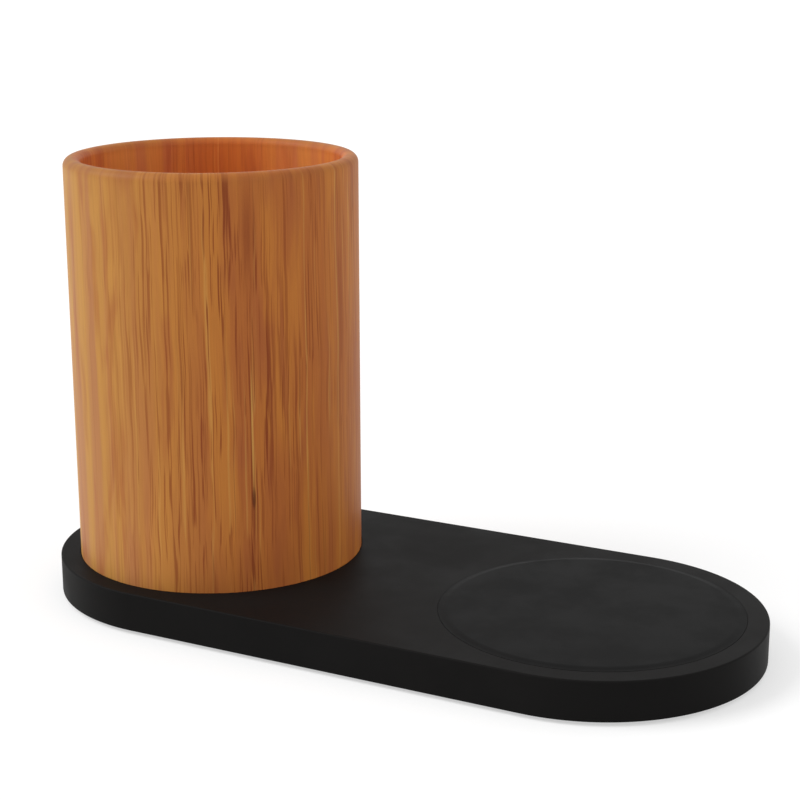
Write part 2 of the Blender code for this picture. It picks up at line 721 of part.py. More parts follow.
def build_bottom_cover(base, parts, cutters, material):
    """The cover: a plate with a screw well over each foot, snap hooks and low ribs."""
    plate = plate_mesh("bottom_cover", [stadium_outline(COVER_HALF_WIDTH)], COVER_BOTTOM_Z, COVER_TOP_Z)
    cover = add_object("bottom_cover", plate, parts, material, base)
    well_radius = CASE_SCREW_HEAD_RADIUS + HEAD_PLAY + WELL_WALL
    additions = [
        cylinder_mesh("screw well", well_radius, COVER_TOP_Z - ROOT, WELL_TOP_Z, place)
        for place in foot_places()
    ]
    additions += [hook_mesh(x, side) for x, side in hook_places()]
    rib_top = COVER_TOP_Z + COVER_RIB_HEIGHT
    half = COVER_RIB_THICKNESS / 2
    for row in (-1, -2):
        y = row * COVER_RIB_SPACING + COVER_RIB_INSET
        low, high = (CUP_X, y - half, COVER_TOP_Z - ROOT), (PAD_X, y + half, rib_top)
        additions.append(box_mesh("cover rib", low, high))
    combine(cover, "UNION", additions, cutters, "additions")

    holes = []
    for place in foot_places():
        holes += [
            cylinder_mesh(
                "foot recess",
                FOOT_RADIUS + SEAT_GAP,
                COVER_BOTTOM_Z - OVERRUN,
                FOOT_SEAT_Z,
                place,
                FOOT_SEGMENTS,
            ),
            cylinder_mesh(
                "screw well bore",
                CASE_SCREW_HEAD_RADIUS + HEAD_PLAY,
                COVER_BOTTOM_Z - OVERRUN,
                WELL_SEAT_Z,
                place,
            ),
            cylinder_mesh(
                "screw hole",
                CASE_SCREW_RADIUS + THROUGH_PLAY,
                COVER_BOTTOM_Z - OVERRUN,
                WELL_TOP_Z + OVERRUN,
                place,
                SCREW_SEGMENTS,
            ),
        ]
    combine(cover, "DIFFERENCE", holes, cutters, "holes")


def build_cup(axis, parts, cutters, material):
    """The cup: a wall turned from glued staves, with round lips, and a floor disc let in from below."""
    lip_limit = CUP_WALL / 2
    outer, inner = min(CUP_RIM_OUTER_ROUND, lip_limit), min(CUP_RIM_INNER_ROUND, lip_limit)
    ledge = FLOOR_THICKNESS + GLUE_GAP
    rebate = CUP_BORE_RADIUS + FLOOR_LAP
    profile = arc((CUP_RADIUS - outer, CUP_LENGTH - outer), outer, math.pi / 2, 0, CORNER_SEGMENTS)
    profile += [
        (CUP_RADIUS, CUP_FOOT_CHAMFER),
        (CUP_RADIUS - CUP_FOOT_CHAMFER, 0),
        (rebate, 0),
        (rebate, ledge),
        (CUP_BORE_RADIUS, ledge),
    ]
    lip = (CUP_BORE_RADIUS + inner, CUP_LENGTH - inner)
    profile += arc(lip, inner, math.pi, math.pi / 2, CORNER_SEGMENTS)
    wall = turned_mesh("cup_wall", profile, ROUND_SEGMENTS, closed=True)
    add_object("cup_wall", wall, parts, material, axis)

    disc = cylinder_mesh("cup_floor", rebate - GLUE_GAP, 0, FLOOR_THICKNESS, segments=ROUND_SEGMENTS)
    floor = add_object("cup_floor", disc, parts, material, axis)
    pilot = CUP_SCREW_RADIUS + SCREW_PLAY
    pilots = [
        cylinder_mesh("cup pilot", pilot, -OVERRUN, FLOOR_THICKNESS - FLOOR_SKIN, place, SCREW_SEGMENTS)
        for place in cup_screw_places()
    ]
    combine(floor, "DIFFERENCE", pilots, cutters, "pilots")


def build_pad(axis, parts, material):
    """The charging pad: a soft disc that stands a little proud of the deck."""
    edge = min(PAD_EDGE_ROUND, PAD_PROUD)
    profile = [(0, PAD_THICKNESS)]
    profile += arc((PAD_RADIUS - edge, PAD_THICKNESS - edge), edge, math.pi / 2, 0, CORNER_SEGMENTS)
    profile += [(PAD_RADIUS, 0), (0, 0)]
    pad = turned_mesh("charging_pad", profile, ROUND_SEGMENTS)
    add_object("charging_pad", pad, parts, material, axis, (0, 0, PAD_BOTTOM_Z))


def build_feet(base, parts, material):
    """Four round rubber feet with a dished sole, which share one mesh."""
    top = FOOT_SEAT_Z - SEAT_GAP / 2
    edge = FOOT_DISH
    dish = FOOT_RADIUS * FOOT_DISH_SHARE
    profile = [(0, top), (FOOT_RADIUS - edge, top), (FOOT_RADIUS, top - edge), (FOOT_RADIUS, edge)]
    profile += [(FOOT_RADIUS - edge, 0), (dish, 0), (dish - edge, edge), (0, edge)]
    foot = turned_mesh("foot", profile, FOOT_SEGMENTS)
    for number, place in enumerate(foot_places(), 1):
        add_object(f"foot_{number}", foot, parts, material, base, (*place, 0))


def screw_mesh(name, head_radius, head_height, radius, length):
    """A pan-head screw that points up, with the flat side of its head at height 0."""
    round_off = head_height * HEAD_ROUND_SHARE
    taper = min(SCREW_TIP, length / 2)
    profile = [(0, length), (radius * SCREW_TIP_SHARE, length), (radius, length - taper), (radius, 0)]
    profile += [
        (head_radius, 0),
        (head_radius, round_off - head_height),
        (head_radius - round_off, -head_height),
        (0, -head_height),
    ]
    return turned_mesh(name, profile, SCREW_SEGMENTS)


def build_screws(base, parts, material):
    """The cup's, the case's, the coil carrier's and the board's screws, all driven from below. Each kind
    shares one mesh."""
    small = (SMALL_SCREW_HEAD_RADIUS, SMALL_SCREW_HEAD_HEIGHT, SMALL_SCREW_RADIUS)
    kinds = [
        (
            "cup_screw",
            cup_screw_places(CUP_CENTRE),
            (CUP_SCREW_HEAD_RADIUS, CUP_SCREW_HEAD_HEIGHT, CUP_SCREW_RADIUS),
            DECK_UNDER_Z - CUP_SCREW_BOSS_HEIGHT - HEAD_GAP,
            FLOOR_TOP_Z - FLOOR_SKIN - TIP_GAP,
        ),
        (
            "case_screw",
            foot_places(),
            (CASE_SCREW_HEAD_RADIUS, CASE_SCREW_HEAD_HEIGHT, CASE_SCREW_RADIUS),
            WELL_SEAT_Z - HEAD_GAP,
            CASE_BOSS_Z + CASE_BITE - TIP_GAP,
        ),
        (
            "carrier_screw",
            ear_places(PAD_CENTRE),
            small,
            CARRIER_BOTTOM_Z - HEAD_GAP,
            DECK_UNDER_Z + EAR_SCREW_DECK_BITE - TIP_GAP,
        ),
        (
            "board_screw",
            board_screw_places(BOARD_CENTRE),
            small,
            BOARD_BOTTOM_Z - HEAD_GAP,
            DECK_UNDER_Z + BOARD_SCREW_DECK_BITE - TIP_GAP,
        ),
    ]
    for name, places, sizes, seat_z, tip_z in kinds:
        screw = screw_mesh(name, *sizes, tip_z - seat_z)
        for number, place in enumerate(places, 1):
            add_object(f"{name}_{number}", screw, parts, material, base, (*place, seat_z))


def smooth_route(knots, steps):
    """Points on a smooth curve through the knots, with steps points from each knot to the next."""
    knots = [Vector(k) for k in knots]
    ends = [2 * knots[0] - knots[1], *knots, 2 * knots[-1] - knots[-2]]
    points = []
    for before, start, end, after in zip(ends, ends[1:], ends[2:], ends[3:]):
        for i in range(steps):
            t = i / steps
            points.append(
                0.5
                * (
                    2 * start
                    + (end - before) * t
                    + (2 * before - 5 * start + 4 * end - after) * t**2
                    + (3 * start - before - 3 * end + after) * t**3
                )
            )
    return [*points, knots[-1]]


def coil_route():
    """The one wire's route about the middle of the winding: from the board along the outer lead, clockwise
    through the winding to its inner tail, and back under the winding, through the ferrite's slot, to the
    board."""
    outer_lead = smooth_route(
        [
            (LEAD_END_X, OUTER_LEAD_Y, -SOLDER_DROP),
            (LEAD_LEVEL_X, OUTER_LEAD_Y, -SOLDER_DROP),
            (LEAD_RAMP - CARRIER_INNER_RADIUS, OUTER_LEAD_Y, 0),
            (-LEAD_STRAIGHT, OUTER_LEAD_Y, 0),
        ],
        LEAD_STEPS,
    )
    slope = (COIL_OUTER_RADIUS - COIL_INNER_RADIUS) / COIL_TURNS
    centre = (0, 0)
    winding = []
    start = math.pi / 2
    for i in range(round(COIL_TURNS * COIL_POINTS_PER_TURN) + 1):
        turned = i / COIL_POINTS_PER_TURN
        place = on_ring(centre, COIL_OUTER_RADIUS - slope * turned, start - turned * math.tau)
        winding.append(Vector((*place, 0)))

    # The tail spirals in and drops below the winding until it meets the inner lead's line
    end = start - COIL_TURNS * math.tau
    bend = TAIL_BEND / COIL_TAIL_RADIUS
    sweep = (end - INNER_LEAD_ANGLE - bend) % math.tau
    tail = []
    count = round(sweep / math.tau * COIL_POINTS_PER_TURN)
    for i in range(1, count + 1):
        share = i / count
        radius = COIL_INNER_RADIUS + (COIL_TAIL_RADIUS - COIL_INNER_RADIUS) * share
        drop = max(0.0, 2 * share - 1)
        tail.append(Vector((*on_ring(centre, radius, end - sweep * share), -UNDERPASS_DROP * drop)))

    out = Vector((math.cos(INNER_LEAD_ANGLE), math.sin(INNER_LEAD_ANGLE), 0))
    hub = Vector((0, 0, -UNDERPASS_DROP))
    side = Vector((-out.y, out.x, 0))
    corner = hub + out * (COIL_TAIL_RADIUS + TAIL_BEND) + side * TAIL_BEND
    elbow = [
        corner - out * TAIL_BEND * math.cos(angle) - side * TAIL_BEND * math.sin(angle)
        for angle in (math.pi / 8, math.pi / 4, 3 * math.pi / 8)
    ]
    inner_lead = smooth_route(
        [
            hub + out * (COIL_TAIL_RADIUS + TAIL_BEND),
            hub + out * CARRIER_RADIUS,
            (LEAD_LEVEL_X, INNER_LEAD_Y, -SOLDER_DROP),
            (LEAD_END_X, INNER_LEAD_Y, -SOLDER_DROP),
        ],
        LEAD_STEPS,
    )
    return outer_lead + winding + tail + elbow + inner_lead


def least_gap(points, diameter):
    """The least gap between stretches of the wire that are not neighbours, in metres."""
    reach = NEIGHBOUR_SHARE * diameter
    travelled = [0.0]
    for a, b in zip(points, points[1:]):
        travelled.append(travelled[-1] + (b - a).length)
    least = math.inf
    for i, point in enumerate(points):
        for j in range(i + 1, len(points)):
            if travelled[j] - travelled[i] > reach:
                least = min(least, (points[j] - point).length)
    return least - diameter


def build_coil(axis, parts, cutters, copper, ferrite, plastic):
    """The coil with its leads, the ferrite plate below it and the carrier that holds both to the deck."""
    route = coil_route()
    print(f"charging coil: least gap to itself {least_gap(route, WIRE_DIAMETER) / MM:.2f} mm")
    wire = shade(wire_mesh("charging_coil", route, WIRE_DIAMETER))
    add_object("charging_coil", wire, parts, copper, axis, (0, 0, WINDING_Z))

    rings = ring_outlines(FERRITE_RADIUS, FERRITE_HOLE_RADIUS)
    disc = plate_mesh("ferrite_plate", rings, 0, FERRITE_THICKNESS)
    plate = add_object("ferrite_plate", disc, parts, ferrite, axis, (0, 0, FERRITE_BOTTOM_Z))
    low = (COIL_TAIL_RADIUS, -FERRITE_SLOT / 2, -OVERRUN)
    high = (FERRITE_RADIUS + OVERRUN, FERRITE_SLOT / 2, FERRITE_THICKNESS + OVERRUN)
    slot = box_mesh("lead slot", low, high)
    aim = Matrix.Rotation(INNER_LEAD_ANGLE, 4, "Z")
    slot.transform(aim)
    combine(plate, "DIFFERENCE", [slot], cutters, "slot")

    rings = ring_outlines(CARRIER_RADIUS, CARRIER_HOLE_RADIUS)
    dish = plate_mesh("coil_carrier", rings, 0, CARRIER_PLATE)
    carrier = add_object("coil_carrier", dish, parts, plastic, axis, (0, 0, CARRIER_BOTTOM_Z))
    rim_top = DECK_UNDER_Z - SEAT_GAP - CARRIER_BOTTOM_Z
    additions = [plate_mesh("carrier rim", ring_outlines(CARRIER_RADIUS, CARRIER_INNER_RADIUS), 0, rim_top)]
    for angle in EAR_ANGLES:
        turn = Matrix.Rotation(angle, 4, "Z")
        additions.append(plate_mesh("ear", [ear_outline()], 0, CARRIER_PLATE, turn))
    combine(carrier, "UNION", additions, cutters, "rim and ears")

    # One notch lies along the inner lead and the other along the outer one
    half = CARRIER_NOTCH / 2
    low = (CARRIER_HOLE_RADIUS, -half, CARRIER_PLATE)
    high = (CARRIER_RADIUS + OVERRUN, half, rim_top + OVERRUN)
    inner_notch = box_mesh("lead notch", low, high)
    inner_notch.transform(aim)
    low = (-CARRIER_RADIUS, OUTER_LEAD_Y - half, CARRIER_PLATE)
    high = (-LEAD_STRAIGHT, OUTER_LEAD_Y + half, rim_top + OVERRUN)
    holes = [inner_notch, box_mesh("lead notch", low, high)]
    radius = SMALL_SCREW_RADIUS + THROUGH_PLAY
    top = CARRIER_PLATE + OVERRUN
    for place in ear_places():
        holes.append(cylinder_mesh("ear hole", radius, -OVERRUN, top, place, SCREW_SEGMENTS))
    combine(carrier, "DIFFERENCE", holes, cutters, "notches and holes")


def ear_outline():
    """A carrier ear that reaches out along +X from inside the carrier's wall to its round end."""
    end = arc((EAR_RING, 0), CARRIER_EAR_RADIUS, -math.pi / 2, math.pi / 2, BOSS_SEGMENTS // 2)
    return [*end, (FERRITE_RADIUS, CARRIER_EAR_RADIUS), (FERRITE_RADIUS, -CARRIER_EAR_RADIUS)]


def on_board(shares):
    """The place below the board that two shares of its width and depth give, a solder gap under it."""
    return (BOARD_WIDTH * shares[0], BOARD_DEPTH * shares[1], -SOLDER_GAP)


def package_mesh(name, length, width, height):
    """A component's body, which hangs from height 0."""
    return box_mesh(name, (-length / 2, -width / 2, -height), (length / 2, width / 2, 0))


def octagon_outline(side, chamfer):
    """A square with cut corners."""
    half = side / 2
    near = half - chamfer
    corners = [(half, -near), (half, near), (near, half), (-near, half)]
    return corners + [(-x, -y) for x, y in corners]


def build_board(seat, parts, materials):
    """The circuit board with its screw holes, and the components that hang under it."""
    hole = SMALL_SCREW_RADIUS + THROUGH_PLAY
    outlines = [rounded_outline(BOARD_WIDTH, BOARD_DEPTH, BOARD_CORNER)]
    outlines += [circle_outline(hole, place, SCREW_SEGMENTS) for place in board_screw_places()]
    board = plate_mesh("circuit_board", outlines, 0, BOARD_THICKNESS)
    add_object("circuit_board", board, parts, materials["board"], seat)

    chip = package_mesh("control chip", CHIP_SIDE, CHIP_SIDE, CHIP_HEIGHT)
    bridge = package_mesh("bridge chip", BRIDGE_LENGTH, BRIDGE_WIDTH, BRIDGE_HEIGHT)
    inductor = plate_mesh("inductor", [octagon_outline(INDUCTOR_SIDE, INDUCTOR_CHAMFER)], -INDUCTOR_HEIGHT, 0)
    capacitor = package_mesh("capacitor", CAPACITOR_LENGTH, CAPACITOR_WIDTH, CAPACITOR_HEIGHT)
    placed = [("control_chip", chip, "chip", on_board(CONTROL_CHIP_SHARES))]
    placed.append(("power_inductor", inductor, "ferrite", on_board(INDUCTOR_SHARES)))
    for number, shares in enumerate(BRIDGE_CHIP_SHARES, 1):
        placed.append((f"bridge_chip_{number}", bridge, "chip", on_board(shares)))
    for number, shares in enumerate(INPUT_CAPACITOR_SHARES, 1):
        placed.append((f"input_capacitor_{number}", capacitor, "ceramic", on_board(shares)))
    x, y, z = on_board(RESONANT_ROW_SHARES)
    for i in range(RESONANT_CAPACITORS):
        place = (x, y + i * CAPACITOR_SPACING, z)
        placed.append((f"resonant_capacitor_{i + 1}", capacitor, "ceramic", place))
    for name, mesh, material, place in placed:
        add_bevel(add_object(name, mesh, parts, materials[material], seat, place), PACKAGE_EDGE, 1)


def build_socket(seat, parts, cutters, steel, plastic):
    """The socket: a drawn steel shell, and the insulator that closes its back and carries its tongue. Both
    are drawn about the middle of the socket's mouth."""
    mouth = (0, SOCKET_FRONT_Y - BOARD_CENTRE[1], SOCKET_Z - BOARD_BOTTOM_Z)
    shell = upright_plate("usb_c_shell", [socket_outline(), socket_outline(-SOCKET_WALL)], -SOCKET_LENGTH, 0)
    add_object("usb_c_shell", shade(shell), parts, steel, seat, mouth)

    gap = SOCKET_WALL + SOCKET_INSULATOR_GAP
    block_y = SOCKET_INSULATOR_DEPTH - SOCKET_LENGTH
    block = upright_plate("usb_c_insulator", [socket_outline(-gap)], -SOCKET_LENGTH, block_y)
    insulator = add_object("usb_c_insulator", block, parts, plastic, seat, mouth)
    half_x, half_z = TONGUE_WIDTH / 2, TONGUE_THICKNESS / 2
    tongue = box_mesh("tongue", (-half_x, block_y - ROOT, -half_z), (half_x, -TONGUE_SETBACK, half_z))
    combine(insulator, "UNION", [tongue], cutters, "tongue")


def main():
    """Builds every piece."""
    clear_scene()
    parts = make_collection("wireless_charger_pen_holder")
    cutters = make_collection("cutters")
    cutters.hide_render = True

    bamboo = make_material("bamboo", (0.46, 0.20, 0.06), 0.45)
    black = make_material("black_housing", (0.016, 0.016, 0.016), 0.55)
    cover_black = make_material("black_cover", (0.02, 0.02, 0.02), 0.7)
    rubber = make_material("pad_rubber", (0.02, 0.02, 0.02), 0.75)
    foot_rubber = make_material("foot_rubber", (0.03, 0.03, 0.03), 0.85)
    steel = make_material("steel", (0.55, 0.55, 0.56), 0.3, 1.0)
    copper = make_material("copper_wire", (0.72, 0.33, 0.16), 0.35, 1.0)
    ferrite = make_material("ferrite", (0.06, 0.06, 0.065), 0.6)
    grey = make_material("carrier_plastic", (0.25, 0.25, 0.26), 0.6)
    board = make_material("board_green", (0.02, 0.14, 0.06), 0.4)
    chip = make_material("chip_black", (0.03, 0.03, 0.03), 0.5)
    ceramic = make_material("capacitor_ceramic", (0.42, 0.30, 0.19), 0.5)

    base = add_empty("base", parts)
    cup_axis = add_empty("cup axis", parts, base, (*CUP_CENTRE, CUP_BOTTOM_Z))
    pad_axis = add_empty("pad axis", parts, base, (*PAD_CENTRE, 0))
    board_seat = add_empty("board seat", parts, base, (*BOARD_CENTRE, BOARD_BOTTOM_Z))

    build_housing(base, parts, cutters, black)
    build_bottom_cover(base, parts, cutters, cover_black)
    build_pad(pad_axis, parts, rubber)
    build_feet(base, parts, foot_rubber)
    build_cup(cup_axis, parts, cutters, bamboo)
    build_screws(base, parts, steel)
    build_coil(pad_axis, parts, cutters, copper, ferrite, grey)
    build_board(board_seat, parts, {"board": board, "chip": chip, "ferrite": ferrite, "ceramic": ceramic})
    build_socket(board_seat, parts, cutters, steel, chip)

    # The Booleans stay off until every mesh is made, so that none is worked out twice
    for obj in parts.objects:
        for modifier in obj.modifiers:
            modifier.show_viewport = True


main()
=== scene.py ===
"""Looks of a pen cup with a wireless charging pad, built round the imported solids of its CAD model.

A round bamboo cup stands on one end of a flat black base, and a charging pad is let into the other. Each
sub-assembly is a class that builds its meshes and dresses them, and each finish is a small frozen class
that makes one material. Lengths are in metres, in the frame of the CAD model: the origin is on the desk
under the middle of the base, the cup is at -X, and the rear side, with the socket, is at +Y.
"""

import json
import logging
import math
from dataclasses import dataclass
from enum import Enum
from functools import reduce
from typing import Callable, Sequence

import bmesh
import bpy
from mathutils import Matrix, Vector

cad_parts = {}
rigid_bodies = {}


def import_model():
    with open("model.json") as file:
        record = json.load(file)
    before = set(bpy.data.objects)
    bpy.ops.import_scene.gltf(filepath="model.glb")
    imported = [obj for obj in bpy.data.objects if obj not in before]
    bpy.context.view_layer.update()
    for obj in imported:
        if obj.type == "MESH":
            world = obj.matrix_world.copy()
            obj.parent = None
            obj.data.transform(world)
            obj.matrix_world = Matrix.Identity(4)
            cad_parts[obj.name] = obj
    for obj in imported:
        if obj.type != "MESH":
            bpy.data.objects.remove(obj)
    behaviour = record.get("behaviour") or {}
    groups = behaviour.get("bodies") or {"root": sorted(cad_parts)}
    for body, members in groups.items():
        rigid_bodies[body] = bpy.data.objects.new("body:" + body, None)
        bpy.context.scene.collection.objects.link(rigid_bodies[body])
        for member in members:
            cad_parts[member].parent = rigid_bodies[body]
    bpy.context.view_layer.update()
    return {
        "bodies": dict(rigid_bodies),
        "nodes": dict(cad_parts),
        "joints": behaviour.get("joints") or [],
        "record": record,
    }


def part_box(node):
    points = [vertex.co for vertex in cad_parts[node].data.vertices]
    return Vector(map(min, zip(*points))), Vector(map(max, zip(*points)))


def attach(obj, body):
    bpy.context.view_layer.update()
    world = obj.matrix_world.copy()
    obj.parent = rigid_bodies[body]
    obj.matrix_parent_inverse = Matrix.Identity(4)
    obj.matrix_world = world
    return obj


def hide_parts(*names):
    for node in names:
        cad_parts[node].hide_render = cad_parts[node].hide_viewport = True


Point = tuple[float, float]
Span = tuple[float, float]
Triple = tuple[float, float, float]
Grain = tuple[Vector, dict[str, float]]
Mesh = bpy.types.Mesh
Pin = bpy.types.NodeSocket

MM = 0.001
MERGE = 0.002 * MM  # points nearer than this become one
OVER = 1.0 * MM  # how far a cutter reaches past what it cuts
SHARP = math.radians(35)  # edges sharper than this stay sharp
EVEN = (0.3, 0.7)  # the middle of a noise's range
MIX_PINS = (0, 6, 7)  # a colour Mix node's factor and its two colours
WHITE = (1.0, 1.0, 1.0, 1.0)
KNOT = (28.03 * MM, -27.11 * MM)  # the knot's place round the cup
FEET = 4
BODY = "root"
LOG = logging.getLogger("pen_cup_charger")


class Slot(Enum):
    """The record's material slots."""

    BAMBOO = "bamboo"
    HOUSING = "black_housing"
    COVER = "black_cover"
    PAD = "pad_rubber"
    FOOT = "foot_rubber"
    STEEL = "steel"
    COPPER = "copper_wire"
    FERRITE = "ferrite"
    CARRIER = "carrier_plastic"
    BOARD = "board_green"
    CHIP = "chip_black"
    CERAMIC = "capacitor_ceramic"


class Merge(Enum):
    """What a set of shapes does to a mesh."""

    CUT = "DIFFERENCE"
    WELD = "UNION"


# Nodes and materials


class Graph:
    """Adds nodes to one node tree and links them."""

    def __init__(self, tree: bpy.types.NodeTree) -> None:
        """Starts on a shader or geometry tree."""
        self.tree = tree

    def add(self, kind: str, inputs: dict | None = None, **settings: object) -> bpy.types.Node:
        """Adds one node.

        Args:
            kind: The node's type name.
            inputs: Values or sockets for its inputs, by name or number.
            settings: Values for the node's own properties.

        Returns:
            The new node.
        """
        node = self.tree.nodes.new(kind)
        for name, value in settings.items():
            setattr(node, name, value)
        for key, value in (inputs or {}).items():
            self.feed(node.inputs[key], value)
        return node

    def feed(self, socket: Pin, value: object) -> None:
        """Links a socket to a value's source, or sets its value.

        Args:
            socket: The input to feed.
            value: A socket, a node whose first output is meant, or a plain value.
        """
        if isinstance(value, bpy.types.Node):
            value = value.outputs[0]
        if isinstance(value, Pin):
            self.tree.links.new(value, socket)
        else:
            socket.default_value = value

    def maths(self, operation: str, *values: object) -> Pin:
        """Adds a Math node, whose inputs are given in order."""
        return self.add("ShaderNodeMath", dict(enumerate(values)), operation=operation).outputs[0]

    def product(self, *values: object) -> Pin:
        """Multiplies sockets and numbers."""
        return reduce(lambda first, second: self.maths("MULTIPLY", first, second), values)

    def vector(self, operation: str, *values: object) -> Pin:
        """Adds a Vector Math node, whose vectors are given in order."""
        return self.add("ShaderNodeVectorMath", dict(enumerate(values)), operation=operation).outputs[0]

    def noise(self, vector: object, scale: float, detail: float = 2.0, roughness: float = 0.5,
              distortion: float = 0.0) -> Pin:
        """Adds a 3D noise.

        Args:
            vector: Where it is read.
            scale: Features per metre.
            detail: Octaves.
            roughness: Weight of the finer octaves.
            distortion: How much it is warped.

        Returns:
            The socket of its value, about 0.5 on average.
        """
        inputs = {"Vector": vector, "Scale": scale, "Detail": detail, "Roughness": roughness,
                  "Distortion": distortion}
        return self.add("ShaderNodeTexNoise", inputs).outputs["Fac"]

    def spread(self, value: object, low: float, high: float, to_low: float = 0.0,
               to_high: float = 1.0) -> Pin:
        """Maps a range of values onto another, smoothly and held to its ends.

        Args:
            value: The value's socket.
            low: Start of the range.
            high: End of the range.
            to_low: Result at the start.
            to_high: Result at the end.

        Returns:
            The result's socket.
        """
        inputs = {"Value": value, "From Min": low, "From Max": high, "To Min": to_low, "To Max": to_high}
        return self.add("ShaderNodeMapRange", inputs, interpolation_type="SMOOTHSTEP").outputs[0]

    def fade(self, share: object, end: float) -> Pin:
        """A factor that goes from 1 to an end value while a share goes from 0 to 1."""
        return self.spread(share, 0.0, 1.0, 1.0, end)

    def blend(self, factor: object, first: object, second: object, mode: str = "MIX") -> Pin:
        """Mixes two colours.

        Args:
            factor: Share of the second.
            first: A colour's socket, or a colour.
            second: A colour's socket, or a colour.
            mode: The Mix node's blend type.

        Returns:
            The mixed colour's socket.
        """
        node = self.add("ShaderNodeMix", data_type="RGBA", blend_type=mode)
        for pin, value in zip(MIX_PINS, (factor, first, second)):
            self.feed(node.inputs[pin], (*value, 1.0) if isinstance(value, tuple) else value)
        return node.outputs[2]

    def bump(self, height: object, distance: float) -> Pin:
        """The normal of a height from 0 to 1, at which it stands a distance in metres high."""
        inputs = {"Height": height, "Distance": distance, "Strength": 1.0}
        return self.add("ShaderNodeBump", inputs).outputs[0]


@dataclass(frozen=True)
class Finish:
    """A Principled material whose nodes a subclass makes."""

    name: str
    slot: Slot
    colour: Triple
    roughness: float = 0.5
    metallic: float = 0.0
    specular: float = 0.5

    def material(self) -> bpy.types.Material:
        """Makes the material, or returns the one that this finish made before.

        The title keeps it apart from the materials that come with the solids, which are named like the
        slots.

        Returns:
            The material.
        """
        title = self.name + "_finish"
        known = bpy.data.materials.get(title)
        if known:
            return known
        made = bpy.data.materials.new(title)
        made.use_nodes = True
        shader = made.node_tree.nodes["Principled BSDF"]
        for socket, value in (("Base Color", (*self.colour, 1.0)), ("Roughness", self.roughness),
                              ("Metallic", self.metallic), ("Specular IOR Level", self.specular)):
            shader.inputs[socket].default_value = value
        self.dress(Graph(made.node_tree), shader)
        return made

    def dress(self, graph: Graph, shader: bpy.types.Node) -> None:
        """Adds the finish's own nodes.

        Args:
            graph: The material's graph.
            shader: Its Principled node.
        """

    def shade(self, factor: float) -> Triple:
        """The finish's colour times a factor."""
        return tuple(part * factor for part in self.colour)

    def sheen(self, graph: Graph, noise: object, span: Span, polish: float, dulling: float) -> Pin:
        """Roughness that falls by polish where a noise is low in a span and rises by dulling where high."""
        return graph.spread(noise, *span, self.roughness - polish, self.roughness + dulling)

    @staticmethod
    def place(graph: Graph) -> Pin:
        """Object coordinates, which are metres in the part's frame."""
        return graph.add("ShaderNodeTexCoord").outputs["Object"]

    @staticmethod
    def cover(graph: Graph, shader: bpy.types.Node, colour: object, roughness: object,
              normal: object) -> None:
        """Feeds the shader with colour, roughness and normal."""
        for name, value in (("Base Color", colour), ("Roughness", roughness), ("Normal", normal)):
            graph.feed(shader.inputs[name], value)


@dataclass(frozen=True)
class MouldedPlastic(Finish):
    """Moulded plastic with a spark-eroded texture."""

    texture_size: float = 0.22 * MM
    texture_height: float = 0.012 * MM
    mottle: float = 0.12
    mottle_scale: float = 45.0
    mottle_span: Span = (0.35, 0.65)
    speck: float = 0.35
    broad_swing: float = 0.05
    fine_swing: float = 0.04

    def dress(self, graph: Graph, shader: bpy.types.Node) -> None:
        """Adds the texture's bump and a faint mottle of colour and roughness."""
        place = self.place(graph)
        grain = graph.noise(place, 1.0 / self.texture_size, roughness=0.6)
        broad = graph.noise(place, self.mottle_scale, detail=3.0, roughness=0.55)
        light = self.shade(1.0 + self.mottle)
        tint = graph.blend(graph.spread(broad, *self.mottle_span), self.shade(1.0 - self.mottle), light)
        tint = graph.blend(graph.spread(grain, *EVEN, 0.0, self.speck), tint, light)
        rough = graph.maths("SUBTRACT", self.sheen(graph, broad, EVEN, self.broad_swing, self.broad_swing),
                            self.fine_swing)
        rough = graph.maths("MULTIPLY_ADD", grain, 2 * self.fine_swing, rough)
        self.cover(graph, shader, tint, rough, graph.bump(grain, self.texture_height))


@dataclass(frozen=True)
class Rubber(Finish):
    """Soft rubber with a fine dull grain."""

    texture_size: float = 0.12 * MM
    texture_height: float = 0.006 * MM
    dust: float = 0.2
    dust_scale: float = 70.0
    dust_span: Span = (0.4, 0.75)
    dull_span: Span = (0.35, 0.7)
    polish: float = 0.04
    dulling: float = 0.05

    def dress(self, graph: Graph, shader: bpy.types.Node) -> None:
        """Adds the grain and dull, slightly dusty patches."""
        place = self.place(graph)
        grain = graph.noise(place, 1.0 / self.texture_size, detail=3.0, roughness=0.6)
        dust = graph.noise(place, self.dust_scale, detail=4.0, roughness=0.6)
        tint = graph.blend(graph.spread(dust, *self.dust_span), self.colour, self.shade(1.0 + self.dust))
        rough = self.sheen(graph, dust, self.dull_span, self.polish, self.dulling)
        self.cover(graph, shader, tint, rough, graph.bump(grain, self.texture_height))


@dataclass(frozen=True)
class PlatedMetal(Finish):
    """Rolled or turned metal, plated, with fine drawing lines."""

    lines: Triple = (900.0, 9000.0, 9000.0)
    line_height: float = 0.002 * MM
    tarnish: float = 0.28
    tarnish_scale: float = 400.0
    tarnish_span: Span = (0.45, 0.8)
    polish: float = 0.08
    dulling: float = 0.12

    def dress(self, graph: Graph, shader: bpy.types.Node) -> None:
        """Adds drawing lines to the roughness and a slight tarnish."""
        place = self.place(graph)
        drawn = graph.noise(graph.vector("MULTIPLY", place, self.lines), 1.0, roughness=0.6)
        tarnish = graph.noise(place, self.tarnish_scale, detail=3.0, roughness=0.6)
        tint = graph.blend(graph.spread(tarnish, *self.tarnish_span), self.colour,
                           self.shade(1.0 - self.tarnish))
        rough = self.sheen(graph, drawn, EVEN, self.polish, self.dulling)
        self.cover(graph, shader, tint, rough, graph.bump(drawn, self.line_height))


